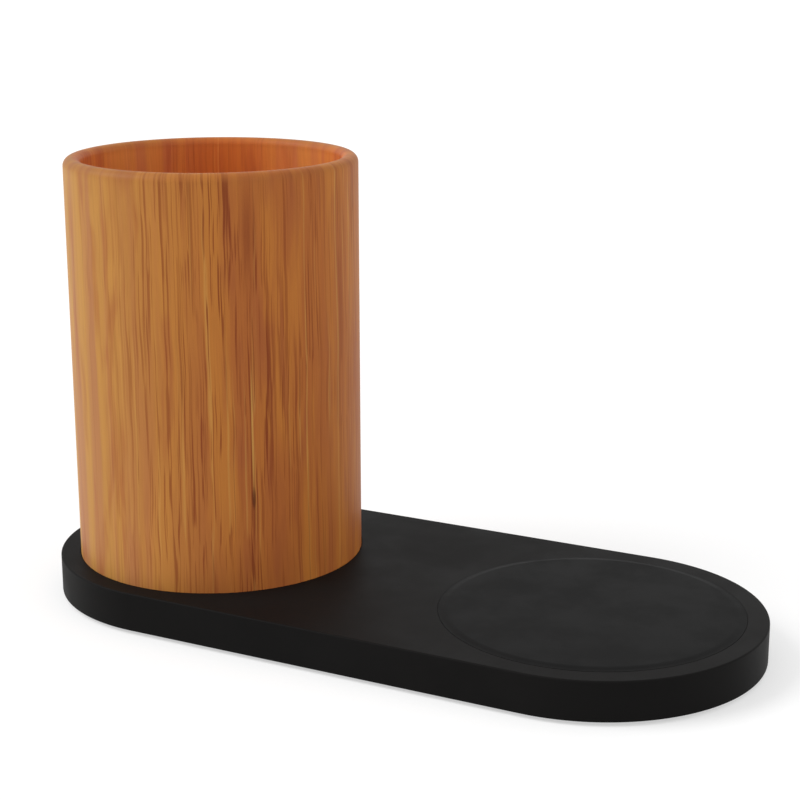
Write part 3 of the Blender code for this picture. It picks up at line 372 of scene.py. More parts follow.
@dataclass(frozen=True)
class Sintered(Finish):
    """Pressed and fired powder: ferrite or ceramic."""

    speckle: float = 0.25
    speckle_scale: float = 2600.0
    speckle_span: Span = (0.35, 0.65)
    speckle_height: float = 0.01 * MM
    polish: float = 0.06
    dulling: float = 0.08

    def dress(self, graph: Graph, shader: bpy.types.Node) -> None:
        """Adds specks and a fine rough surface."""
        specks = graph.noise(self.place(graph), self.speckle_scale, detail=3.0, roughness=0.65)
        tint = graph.blend(graph.spread(specks, *self.speckle_span), self.shade(1.0 - self.speckle),
                           self.shade(1.0 + self.speckle))
        rough = self.sheen(graph, specks, EVEN, self.polish, self.dulling)
        self.cover(graph, shader, tint, rough, graph.bump(specks, self.speckle_height))


@dataclass(frozen=True)
class SolderMask(Finish):
    """A circuit board's solder mask over copper tracks and ground areas."""

    track: Triple = (0.035, 0.19, 0.080)
    track_height: float = 0.03 * MM
    track_edge: Span = (0.30, 0.36)
    pitch: float = 0.7 * MM
    patch: float = 6.0 * MM
    across_below: float = 0.3
    along_above: float = 0.6
    weave_scale: float = 1500.0
    polish: float = 0.05
    dulling: float = 0.07

    def dress(self, graph: Graph, shader: bpy.types.Node) -> None:
        """Adds patches of parallel tracks that show through the mask as paler, slightly raised lines."""
        place = self.place(graph)
        cells = graph.add("ShaderNodeTexVoronoi", {"Vector": place, "Scale": 1.0 / self.patch},
                          distance="CHEBYCHEV", feature="F1")
        chance = graph.add("ShaderNodeSeparateColor", {0: cells.outputs["Color"]}).outputs[0]
        parts = graph.add("ShaderNodeSeparateXYZ", {0: place}).outputs
        across = graph.product(self.lines(graph, parts["X"]),
                               graph.maths("LESS_THAN", chance, self.across_below))
        along = graph.product(self.lines(graph, parts["Y"]),
                              graph.maths("GREATER_THAN", chance, self.along_above))
        copper = graph.maths("MAXIMUM", across, along)
        rough = self.sheen(graph, graph.noise(place, self.weave_scale), EVEN, self.polish, self.dulling)
        self.cover(graph, shader, graph.blend(copper, self.colour, self.track), rough,
                   graph.bump(copper, self.track_height))

    def lines(self, graph: Graph, distance: object) -> Pin:
        """A share that is 1 on parallel lines one pitch apart, from the distance across them."""
        turn = graph.maths("PINGPONG", graph.maths("DIVIDE", distance, self.pitch), 0.5)
        return graph.spread(turn, *self.track_edge)


@dataclass(frozen=True)
class Streaks:
    """Noise drawn out along the fibres: its features per metre, and the range of it that shows."""

    across: float
    along: float
    low: float
    high: float
    at_low: float = 0.0
    at_high: float = 1.0
    detail: float = 2.0
    roughness: float = 0.5
    distortion: float = 0.0

    def noise(self, graph: Graph, place: object) -> Pin:
        """The plain noise at a place."""
        drawn = graph.vector("MULTIPLY", place, (self.across, self.across, self.along))
        return graph.noise(drawn, 1.0, self.detail, self.roughness, self.distortion)

    def share(self, graph: Graph, noise: object) -> Pin:
        """How much of a noise shows."""
        return graph.spread(noise, self.low, self.high, self.at_low, self.at_high)

    def drawn(self, graph: Graph, place: object) -> Pin:
        """How much of its own noise shows at a place."""
        return self.share(graph, self.noise(graph, place))


@dataclass(frozen=True)
class Mark:
    """A long thin mark along the fibres: its middle, half width and half length, and how it fades.

    The distances at which it fades are shares of its size, so that 1 is its outline.
    """

    centre: Triple
    width: float
    length: float
    full_to: float
    gone_at: float
    strength: float

    def share(self, graph: Graph, place: object) -> Pin:
        """How much of the mark shows at a place."""
        away = graph.vector("SUBTRACT", place, self.centre)
        parts = graph.vector("MULTIPLY", away, (1.0 / self.width, 1.0 / self.width, 1.0 / self.length))
        distance = graph.add("ShaderNodeVectorMath", {0: parts}, operation="LENGTH").outputs["Value"]
        return graph.spread(distance, self.full_to, self.gone_at, self.strength, 0.0)


@dataclass(frozen=True)
class Bamboo(Finish):
    """Carbonised bamboo strips, glued side by side and lacquered.

    The mesh carries the vector attribute grain, whose third part runs along the fibres, and five shares:
    strip counts the strips, sanding is 1 where the surface is rounded over, bore is 1 inside the cup, pale
    is 1 in the middle of the paler strips and streaky is 1 in the middle of the most streaked ones.
    """

    honey: Triple = (0.553, 0.191, 0.0345)
    russet: Triple = (0.465, 0.140, 0.031)
    fair: Triple = (0.552, 0.292, 0.072)
    mauve: Triple = (0.465, 0.215, 0.085)
    streak: Triple = (0.24, 0.046, 0.012)
    smoke: Triple = (0.36, 0.092, 0.032)
    gold: Triple = (0.70, 0.37, 0.09)
    # Painted bounce light: the bore and the cup floor are brightened and reddened, partly the inside's own
    # tone
    inner: Triple = (1.24, 0.94, 0.88)
    knot_tone: float = 0.5

    band: Streaks = Streaks(170.0, 13.0, 0.43, 0.73, detail=3.0, roughness=0.6, distortion=0.3)
    stripe: Streaks = Streaks(210.0, 5.0, 0.41, 0.66, detail=1.0)
    haze: Streaks = Streaks(230.0, 30.0, 0.50, 0.72, at_high=0.50, distortion=0.4)
    thread: Streaks = Streaks(700.0, 8.0, 0.60, 0.74, at_high=0.38, detail=1.5)
    crowd: Streaks = Streaks(130.0, 12.0, 0.44, 0.64)
    vessel: Streaks = Streaks(1650.0, 22.0, 0.53, 0.67, detail=1.2)
    slit: Streaks = Streaks(1250.0, 6.5, 0.57, 0.69, at_high=0.58, detail=1.0)
    fibre: Streaks = Streaks(3200.0, 110.0, 0.25, 0.75, 0.963, 1.033, roughness=0.6)

    knot: Mark = Mark((*KNOT, 36.7 * MM), 0.62 * MM, 3.6 * MM, 0.4, 1.1, 0.88)
    vein: Mark = Mark((*KNOT, 36.7 * MM), 0.45 * MM, 34 * MM, 0.3, 1.1, 0.55)
    patch: Mark = Mark((*KNOT, 104.7 * MM), 2.4 * MM, 17 * MM, 0.2, 1.1, 0.60)
    split: Mark = Mark((*KNOT, 54.2 * MM), 0.30 * MM, 18 * MM, 0.5, 1.2, 0.65)
    patch_fibres: tuple[float, float, float, float] = (0.35, 0.6, 1.0, 0.45)

    sway: Triple = (22.0, 22.0, 26.0)
    sway_reach: Triple = (2.6 * MM, 2.6 * MM, 0.0)
    strip_swing: float = 0.07
    band_weight: float = 1.1
    crowding: float = 0.16
    pale_share: float = 0.80
    pale_thread: float = 0.45
    pale_calm: float = 0.22
    bore_calm: float = 0.7
    side_calm: tuple[float, float, float, float] = (0.0, 0.3, 0.60, 1.0)
    dark_share: float = 0.85
    sanded_grain: float = 0.5
    # The rounded lip's darkening: partly the sanded surface's own tone, partly painted shade on the lit top
    sanded_tone_and_painted_shade: float = 0.80
    # Painted shade: the lip is darkened further where the pale share is high, as on its key-lit left side
    painted_shade_on_lit_lip: float = 0.87
    fibre_sheen: float = 0.16
    dark_sheen: float = 0.12
    relief: float = 0.5
    fibre_height: float = 0.011 * MM

    def dress(self, graph: Graph, shader: bpy.types.Node) -> None:
        """Adds the strips' tones, dark marks and gold threads, the lip's tone and painted shade, painted
        bounce light inside and the lacquer's sheen.
        """
        raw = graph.add("ShaderNodeAttribute", attribute_name="grain").outputs["Vector"]
        strip, sanding, bore, pale, streaky = (
            graph.add("ShaderNodeAttribute", attribute_name=share).outputs["Fac"]
            for share in ("strip", "sanding", "bore", "pale", "streaky"))
        place = self.swayed(graph, raw)
        keep = graph.fade(sanding, self.sanded_grain)
        thread = self.thread.noise(graph, place)
        fibre = self.fibre.noise(graph, place)

        tint = self.ground(graph, place, strip, graph.product(pale, keep, self.pale_share))
        tint = graph.blend(graph.product(self.haze.drawn(graph, place), keep), tint, self.smoke)
        shine = graph.product(self.thread.share(graph, thread), keep, graph.fade(pale, self.pale_thread))
        tint = graph.blend(shine, tint, self.gold)

        crowd = graph.maths("MULTIPLY_ADD", streaky, self.crowding, self.crowd.noise(graph, place))
        dash = self.vessel.drawn(graph, place)
        dark = graph.product(dash, self.crowd.share(graph, crowd))
        dark = graph.maths("MAXIMUM", dark, self.slit.drawn(graph, place))
        calm = graph.product(graph.fade(pale, self.pale_calm), graph.fade(bore, self.bore_calm),
                             graph.spread(streaky, *self.side_calm))
        dark = graph.product(dark, calm, keep, self.dark_share)
        tint = graph.blend(dark, tint, self.streak)

        patch = graph.product(self.patch.share(graph, place), graph.spread(thread, *self.patch_fibres))
        tint = graph.blend(patch, tint, self.streak)
        tint = graph.blend(self.vein.share(graph, place), tint, self.streak)
        core = tuple(part * self.knot_tone for part in self.streak)
        tint = graph.blend(self.knot.share(graph, raw), tint, core)
        tint = graph.blend(self.split.share(graph, raw), tint, self.gold)

        # Fibre tone times the lip's darkening: partly sanded tone, partly painted shade, with more painted
        # shade on the key-lit side
        tone = graph.product(self.fibre.share(graph, fibre), graph.fade(sanding, self.sanded_tone_and_painted_shade),
                             graph.fade(graph.product(pale, sanding), self.painted_shade_on_lit_lip))
        tint = graph.add("ShaderNodeVectorMath", {0: tint, 3: tone}, operation="SCALE")
        # Painted bounce light inside the cup, partly the bore's own redder tone
        tint = graph.blend(bore, tint, self.inner, "MULTIPLY")

        rough = graph.maths("MULTIPLY_ADD", fibre, self.fibre_sheen, self.roughness - self.fibre_sheen / 2)
        rough = graph.maths("MULTIPLY_ADD", dark, self.dark_sheen, rough)
        height = graph.maths("MULTIPLY_ADD", dash, -self.relief, graph.product(fibre, self.relief))
        self.cover(graph, shader, tint, rough, graph.bump(height, self.fibre_height))

    def swayed(self, graph: Graph, raw: object) -> Pin:
        """The place along the fibres, shifted so that they aren't quite straight."""
        inputs = {"Vector": graph.vector("MULTIPLY", raw, self.sway), "Scale": 1.0}
        noise = graph.add("ShaderNodeTexNoise", inputs)
        lean = graph.vector("SUBTRACT", noise.outputs["Color"], (0.5, 0.5, 0.5))
        return graph.vector("MULTIPLY_ADD", lean, self.sway_reach, raw)

    def ground(self, graph: Graph, place: object, strip: object, pale: object) -> Pin:
        """The strips' ground tones.

        Args:
            graph: The material's graph.
            place: The place along the fibres.
            strip: The count of strips.
            pale: The share of the paler tones.

        Returns:
            The colour's socket.
        """
        number = graph.maths("FLOOR", strip)
        chance = graph.add("ShaderNodeTexWhiteNoise", {"W": number}, noise_dimensions="1D")
        band = graph.product(self.band.noise(graph, place), self.band_weight)
        tone = graph.maths("MULTIPLY_ADD", chance.outputs["Value"], self.strip_swing, band)
        tint = graph.blend(self.band.share(graph, tone), self.honey, self.russet)
        return graph.blend(pale, tint, graph.blend(self.stripe.drawn(graph, place), self.fair, self.mauve))


# Sizes that more than one piece follows


@dataclass(frozen=True)
class Layout:
    """The main sizes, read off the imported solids."""

    cup_x: float
    pad_x: float
    half_width: float
    cup_radius: float
    pad_radius: float
    cup_low: float
    cup_top: float
    deck: float
    rim: float
    pad_top: float
    pad_low: float

    @classmethod
    def measured(cls) -> "Layout":
        """Measures the solids.

        Returns:
            The layout.
        """
        shell, cup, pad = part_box("housing"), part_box("cup_wall"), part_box("charging_pad")
        return cls(
            cup_x=(cup[0].x + cup[1].x) / 2,
            pad_x=(pad[0].x + pad[1].x) / 2,
            half_width=shell[1].y,
            cup_radius=(cup[1].x - cup[0].x) / 2,
            pad_radius=(pad[1].x - pad[0].x) / 2,
            cup_low=cup[0].z,
            cup_top=cup[1].z,
            deck=shell[1].z,
            rim=shell[0].z,
            pad_top=pad[1].z,
            pad_low=pad[0].z,
        )


def numbered(stem: str, count: int) -> list[str]:
    """The names of count like nodes."""
    return [f"{stem}_{number}" for number in range(1, count + 1)]


def middle(node: str) -> Point:
    """The middle of a node's box in the plan."""
    low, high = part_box(node)
    return ((low.x + high.x) / 2, (low.y + high.y) / 2)


@dataclass(frozen=True)
class ScrewSize:
    """One kind of screw: its nodes' stem and number, and the sizes that its box doesn't give."""

    stem: str
    count: int
    shank: float
    head: float


class ScrewKind(Enum):
    """The kinds of screw in the part."""

    CUP = ScrewSize("cup_screw", 3, 1.3 * MM, 1.9 * MM)
    CASE = ScrewSize("case_screw", 4, 1.1 * MM, 1.4 * MM)
    CARRIER = ScrewSize("carrier_screw", 3, 0.85 * MM, 1.2 * MM)
    BOARD = ScrewSize("board_screw", 4, 0.85 * MM, 1.2 * MM)

    def nodes(self) -> list[str]:
        """The nodes of this kind."""
        return numbered(self.value.stem, self.value.count)


# Mesh making


def arc(centre: Point, radius: float, start: float, end: float, count: int) -> list[Point]:
    """Points in so many steps on an arc, both ends included."""
    angles = [start + (end - start) * i / count for i in range(count + 1)]
    return [(centre[0] + radius * math.cos(a), centre[1] + radius * math.sin(a)) for a in angles]


def tidy(mesh: Mesh, fill: bool = False) -> Mesh:
    """Merges doubled points, closes open loops if asked, turns the faces outwards and smooths the rounds.

    Args:
        mesh: The mesh to clean.
        fill: Whether each open loop gets a face.

    Returns:
        The same mesh.
    """
    work = bmesh.new()
    work.from_mesh(mesh)
    bmesh.ops.remove_doubles(work, verts=work.verts, dist=MERGE)
    if fill:
        bmesh.ops.holes_fill(work, edges=[e for e in work.edges if e.is_boundary], sides=0)
    bmesh.ops.recalc_face_normals(work, faces=work.faces)
    work.to_mesh(mesh)
    work.free()
    mesh.shade_smooth()
    mesh.set_sharp_from_angle(angle=SHARP)
    return mesh


def polyline(name: str, points: Sequence[Sequence[float]], closed: bool) -> Mesh:
    """A mesh of edges through points, for a tree to read as a curve.

    Args:
        name: The mesh's name.
        points: Points in the plane of the profile, or in space.
        closed: Whether the last meets the first.

    Returns:
        The mesh.
    """
    edges = [(i, i + 1) for i in range(len(points) - 1)]
    if closed:
        edges.append((len(points) - 1, 0))
    mesh = bpy.data.meshes.new(name)
    mesh.from_pydata([(*p, 0.0) if len(p) == 2 else tuple(p) for p in points], edges, [])
    return mesh


def modified(mesh: Mesh, kind: str, settings: dict[str, object],
             inputs: dict[str, object] | None = None) -> Mesh:
    """What a modifier makes of a mesh.

    Args:
        mesh: The mesh, which stays as it is.
        kind: The modifier's type.
        settings: Values for its properties.
        inputs: Values for its node tree's inputs.

    Returns:
        The new mesh.
    """
    carrier = bpy.data.objects.new(mesh.name + "_carrier", mesh)
    bpy.context.scene.collection.objects.link(carrier)
    modifier = carrier.modifiers.new("Step", kind)
    for name, value in settings.items():
        setattr(modifier, name, value)
    for key, value in (inputs or {}).items():
        modifier[key] = value
    bpy.context.view_layer.update()
    graph = bpy.context.evaluated_depsgraph_get()
    result = bpy.data.meshes.new_from_object(carrier.evaluated_get(graph))
    bpy.data.objects.remove(carrier, do_unlink=True)
    return result


def levelled(mesh: Mesh) -> Mesh:
    """Weights the normals by area, so that a flat face stays flat beside a small round.

    Args:
        mesh: The mesh, which is removed.

    Returns:
        The mesh with its new normals.
    """
    result = modified(mesh, "WEIGHTED_NORMAL", {"mode": "FACE_AREA_WITH_ANGLE", "keep_sharp": True})
    bpy.data.meshes.remove(mesh)
    return result


class GeometryTree:
    """A Geometry Nodes tree with named inputs, which ends in Realize Instances and Set Material."""

    def __init__(self, name: str, inputs: dict[str, str]) -> None:
        """Starts the tree.

        Args:
            name: The tree's name.
            inputs: Each input's name and type.
        """
        self.tree = bpy.data.node_groups.new(name, "GeometryNodeTree")
        face = self.tree.interface
        face.new_socket(name="Geometry", in_out="INPUT", socket_type="NodeSocketGeometry")
        self.keys: dict[str, str] = {}
        for label, kind in {**inputs, "Finish": "Material"}.items():
            socket = face.new_socket(name=label, in_out="INPUT", socket_type="NodeSocket" + kind)
            self.keys[label] = socket.identifier
        face.new_socket(name="Geometry", in_out="OUTPUT", socket_type="NodeSocketGeometry")
        self.graph = Graph(self.tree)
        self.given = self.graph.add("NodeGroupInput").outputs

    def end(self, geometry: object) -> None:
        """Closes the tree.

        Args:
            geometry: The socket of the geometry that it makes.
        """
        real = self.graph.add("GeometryNodeRealizeInstances", {"Geometry": geometry})
        finished = self.graph.add("GeometryNodeSetMaterial",
                                  {"Geometry": real, "Material": self.given["Finish"]})
        out = self.graph.add("NodeGroupOutput")
        self.graph.feed(out.inputs[0], finished)

    def bake(self, name: str, start: Mesh, finish: Finish, **values: object) -> Mesh:
        """Runs the tree on a mesh and returns what it makes as a plain mesh.

        Args:
            name: The new mesh's name.
            start: The mesh that the tree starts from.
            finish: The finish whose material it sets.
            values: Values for its named inputs, with _ for each space.

        Returns:
            The mesh.
        """
        inputs = {self.keys[label.replace("_", " ").capitalize()]: value for label, value in values.items()}
        inputs[self.keys["Finish"]] = finish.material()
        mesh = modified(start, "NODES", {"node_group": self.tree}, inputs)
        mesh.name = name
        return mesh


def sweep_tree() -> GeometryTree:
    """A tree that sweeps a profile round a circle, or round a stadium whose half circles stand apart.

    The profile is drawn with x outwards from the path and y downwards.

    Returns:
        The tree.
    """
    tree = GeometryTree("Sweep round a stadium", {"Radius": "Float", "Half distance": "Float",
                                                  "Segments": "Int", "Centre": "Vector"})
    graph, given = tree.graph, tree.given
    ring = graph.add("GeometryNodeCurvePrimitiveCircle",
                     {"Resolution": given["Segments"], "Radius": given["Radius"]})
    half_step = graph.maths("DIVIDE", math.pi, given["Segments"])
    turn = graph.add("ShaderNodeCombineXYZ", {"Z": half_step})
    turned = graph.add("GeometryNodeTransform", {"Geometry": ring.outputs[0], "Rotation": turn})
    place = graph.add("GeometryNodeInputPosition")
    side = graph.maths("SIGN", graph.add("ShaderNodeSeparateXYZ", {0: place}).outputs["X"])
    shift = graph.add("ShaderNodeCombineXYZ", {"X": graph.maths("MULTIPLY", side, given["Half distance"])})
    path = graph.add("GeometryNodeSetPosition", {"Geometry": turned, "Offset": shift})
    profile = graph.add("GeometryNodeMeshToCurve", {0: given["Geometry"]})
    swept = graph.add("GeometryNodeCurveToMesh", {0: path, "Profile Curve": profile})
    tree.end(graph.add("GeometryNodeTransform", {"Geometry": swept, "Translation": given["Centre"]}))
    return tree


def wire_tree() -> GeometryTree:
    """A tree that gives a line through points a round wire.

    Returns:
        The tree.
    """
    tree = GeometryTree("Wire along a route", {"Radius": "Float", "Sides": "Int"})
    graph, given = tree.graph, tree.given
    route = graph.add("GeometryNodeMeshToCurve", {0: given["Geometry"]})
    section = graph.add("GeometryNodeCurvePrimitiveCircle",
                        {"Resolution": given["Sides"], "Radius": given["Radius"]})
    tree.end(graph.add("GeometryNodeCurveToMesh",
                       {0: route, "Profile Curve": section.outputs[0], "Fill Caps": True}))
    return tree


def row_tree() -> GeometryTree:
    """A tree that sets boxes in a row, such as contacts or a chip's legs.

    Returns:
        The tree.
    """
    tree = GeometryTree("Row of boxes", {"Count": "Int", "First": "Vector", "Step": "Vector",
                                         "Size": "Vector"})
    graph, given = tree.graph, tree.given
    line = graph.add("GeometryNodeMeshLine", {"Count": given["Count"], "Start Location": given["First"],
                                              "Offset": given["Step"]})
    box = graph.add("GeometryNodeMeshCube", {"Size": given["Size"]})
    tree.end(graph.add("GeometryNodeInstanceOnPoints", {"Points": line, "Instance": box.outputs[0]}))
    return tree


def spoke_tree() -> GeometryTree:
    """A tree that sets boxes as spokes round a centre.

    Returns:
        The tree.
    """
    tree = GeometryTree("Spokes round a centre", {"Count": "Int", "Radius": "Float", "Size": "Vector",
                                                  "Centre": "Vector"})
    graph, given = tree.graph, tree.given
    ring = graph.add("GeometryNodeMeshCircle", {"Vertices": given["Count"], "Radius": given["Radius"]})
    number = graph.add("GeometryNodeInputIndex")
    angle = graph.maths("MULTIPLY", number, graph.maths("DIVIDE", math.tau, given["Count"]))
    turn = graph.add("ShaderNodeCombineXYZ", {"Z": angle})
    box = graph.add("GeometryNodeMeshCube", {"Size": given["Size"]})
    spokes = graph.add("GeometryNodeInstanceOnPoints",
                       {"Points": ring, "Instance": box.outputs[0], "Rotation": turn})
    half_step = graph.add("ShaderNodeCombineXYZ", {"Z": graph.maths("DIVIDE", math.pi, given["Count"])})
    tree.end(graph.add("GeometryNodeTransform",
                       {"Geometry": spokes, "Rotation": half_step, "Translation": given["Centre"]}))
    return tree


class Workshop:
    """Makes pieces with the shared trees and hands them to the frame."""

    def __init__(self, frame: dict) -> None:
        """Builds the trees.
        """
        self.frame = frame
        self.sweeps = sweep_tree()
        self.wires = wire_tree()
        self.rows = row_tree()
        self.spokes = spoke_tree()

    def swept(self, name: str, profile: Sequence[Point], finish: Finish, radius: float,
              centre: Point = (0.0, 0.0), half_distance: float = 0.0, *, segments: int,
              closed: bool = False, fill: bool = False) -> Mesh:
        """Sweeps a profile of (radius, height) points round a circle or a stadium.

        Args:
            name: The mesh's name.
            profile: The profile's points, as distance from the path's own centre and height.
            finish: The finish that it gets.
            radius: The path's radius, from which the profile's distances are taken.
            centre: The middle of the circle or of the stadium.
            half_distance: Half the distance between the stadium's centres, or 0.
            segments: Steps round the path.
            closed: Whether the profile is a loop.
            fill: Whether the swept strip's open loops are closed by flat faces.

        Returns:
            The mesh.
        """
        drawn = polyline(name + "_profile", [(x - radius, -z) for x, z in profile], closed)
        mesh = self.sweeps.bake(name, drawn, finish, radius=radius, half_distance=half_distance,
                                segments=segments, centre=(*centre, 0.0))
        return tidy(mesh, fill)

    def row(self, finish: Finish, count: int, first: Sequence[float], step: Sequence[float],
            size: Sequence[float]) -> Mesh:
        """Sets equal boxes in a row.

        Args:
            finish: Their finish.
            count: How many there are.
            first: The first box's middle.
            step: From one middle to the next.
            size: Each box's size.

        Returns:
            The mesh.
        """
        places = {name: tuple(map(float, value))
                  for name, value in (("first", first), ("step", step), ("size", size))}
        return self.rows.bake("row", bpy.data.meshes.new("row_start"), finish, count=count, **places)

    def turned(self, name: str, profile: Sequence[Point], finish: Finish, centre: Point,
               segments: int = 32) -> Mesh:
        """Turns a profile of (radius, height) points about the upright axis at a centre."""
        radius = max(x for x, _ in profile)
        return self.swept(name, profile, finish, radius, centre, segments=segments)

    def pillar(self, node: str, finish: Finish, radius: float, low: float, top: float) -> Mesh:
        """A round pillar on a node's axis between two heights, for a boss or for a hole."""
        profile = [(0.0, top), (radius, top), (radius, low), (0.0, low)]
        return self.turned(node + "_pillar", profile, finish, middle(node))

    def wire(self, route: Sequence[Sequence[float]], finish: Finish, radius: float, sides: int) -> Mesh:
        """A wire along a route, whose section has so many sides."""
        start = polyline("route", route, False)
        return self.wires.bake("wire", start, finish, radius=radius, sides=sides)

    def copy(self, node: str, finish: Finish) -> Mesh:
        """A merged, smoothly shaded copy of a node's mesh.

        Args:
            node: The node's name.
            finish: Its finish.

        Returns:
            The mesh.
        """
        mesh = self.frame["nodes"][node].data.copy()
        mesh.materials.clear()
        mesh.materials.append(finish.material())
        return levelled(tidy(mesh))

    def add(self, name: str, mesh: Mesh, finish: Finish, *nodes: str) -> bpy.types.Object:
        """Links a finished mesh as a piece of the part.

        Args:
            name: The piece's name.
            mesh: Its mesh, in the part's frame.
            finish: Its main finish. Not used.
            nodes: The CAD nodes that it stands for.

        Returns:
            The piece.
        """
        mesh.name = name
        piece = bpy.data.objects.new(name, mesh)
        bpy.context.scene.collection.objects.link(piece)
        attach(piece, BODY)
        if nodes:
            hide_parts(*nodes)
        LOG.info("%s: %d faces, for %s", name, len(mesh.polygons), ", ".join(nodes) or "no node")
        return piece

    def refined(self, node: str, finish: Finish) -> bpy.types.Object:
        """A piece for a node whose shape is right as it is."""
        return self.add(node + "_finished", self.copy(node, finish), finish, node)


def joined(name: str, meshes: Sequence[Mesh]) -> Mesh:
    """One mesh that holds several, with their materials.

    Args:
        name: Its name.
        meshes: The meshes, which are removed.

    Returns:
        The mesh.
    """
    materials: list[bpy.types.Material] = []
    work = bmesh.new()
    for mesh in meshes:
        before = len(work.faces)
        work.from_mesh(mesh)
        work.faces.ensure_lookup_table()
        for face in work.faces[before:]:
            material = mesh.materials[face.material_index]
            if material not in materials:
                materials.append(material)
            face.material_index = materials.index(material)
    result = bpy.data.meshes.new(name)
    work.to_mesh(result)
    work.free()
    for material in materials:
        result.materials.append(material)
    for mesh in meshes:
        bpy.data.meshes.remove(mesh)
    return result


def merged(name: str, mesh: Mesh, shapes: Sequence[Mesh], merge: Merge) -> Mesh:
    """Cuts shapes out of a mesh, or welds them to it.

    Args:
        name: The result's name.
        mesh: The mesh to work on.
        shapes: The shapes.
        merge: Whether they are cut out or welded on.

    Returns:
        The new mesh, with its rounds smooth.
    """
    tools = bpy.data.collections.new(name + "_shapes")
    bpy.context.scene.collection.children.link(tools)
    for shape in shapes:
        tools.objects.link(bpy.data.objects.new(shape.name, shape))
    result = modified(mesh, "BOOLEAN", {
        "operation": merge.value, "solver": "EXACT", "use_self": merge is Merge.WELD,
        "operand_type": "COLLECTION", "collection": tools})
    for helper in list(tools.objects):
        bpy.data.objects.remove(helper, do_unlink=True)
    bpy.data.collections.remove(tools)
    result.name = name
    return tidy(result)


# Finishes

HOUSING_FINISH = MouldedPlastic("housing_plastic", Slot.HOUSING, (0.0076, 0.0072, 0.0070), 0.55,
                                specular=0.045)
COVER_FINISH = MouldedPlastic("cover_plastic", Slot.COVER, (0.014, 0.014, 0.014), 0.62, specular=0.2,
                              texture_size=0.35 * MM, texture_height=0.02 * MM)
PAD_FINISH = Rubber("pad_rubber", Slot.PAD, (0.0068, 0.0068, 0.0068), 0.56, specular=0.042)
FOOT_FINISH = Rubber("foot_rubber", Slot.FOOT, (0.028, 0.028, 0.028), 0.8)
BAMBOO_FINISH = Bamboo("bamboo_strips", Slot.BAMBOO, (0.5, 0.24, 0.07), 0.52, specular=0.16)
STEEL_FINISH = PlatedMetal("plated_steel", Slot.STEEL, (0.62, 0.62, 0.63), 0.30, 1.0)
GOLD_FINISH = PlatedMetal("contact_gold", Slot.COPPER, (0.90, 0.62, 0.25), 0.25, 1.0)
WIRE_FINISH = PlatedMetal("enamelled_wire", Slot.COPPER, (0.62, 0.24, 0.09), 0.28, 1.0)
FERRITE_FINISH = Sintered("ferrite", Slot.FERRITE, (0.045, 0.045, 0.048), 0.62)
CERAMIC_FINISH = Sintered("capacitor_ceramic", Slot.CERAMIC, (0.36, 0.25, 0.15), 0.5, speckle=0.1)
CARRIER_FINISH = MouldedPlastic("carrier_plastic", Slot.CARRIER, (0.22, 0.22, 0.23), 0.6)
BOARD_FINISH = SolderMask("solder_mask", Slot.BOARD, (0.015, 0.11, 0.045), 0.35)
CHIP_FINISH = MouldedPlastic("chip_epoxy", Slot.CHIP, (0.02, 0.02, 0.02), 0.55, texture_size=0.06 * MM,
                             texture_height=0.004 * MM)


# Sub-assemblies


@dataclass
class Assembly:
    """What every sub-assembly needs: the workshop and the main sizes."""

    shop: Workshop
    layout: Layout


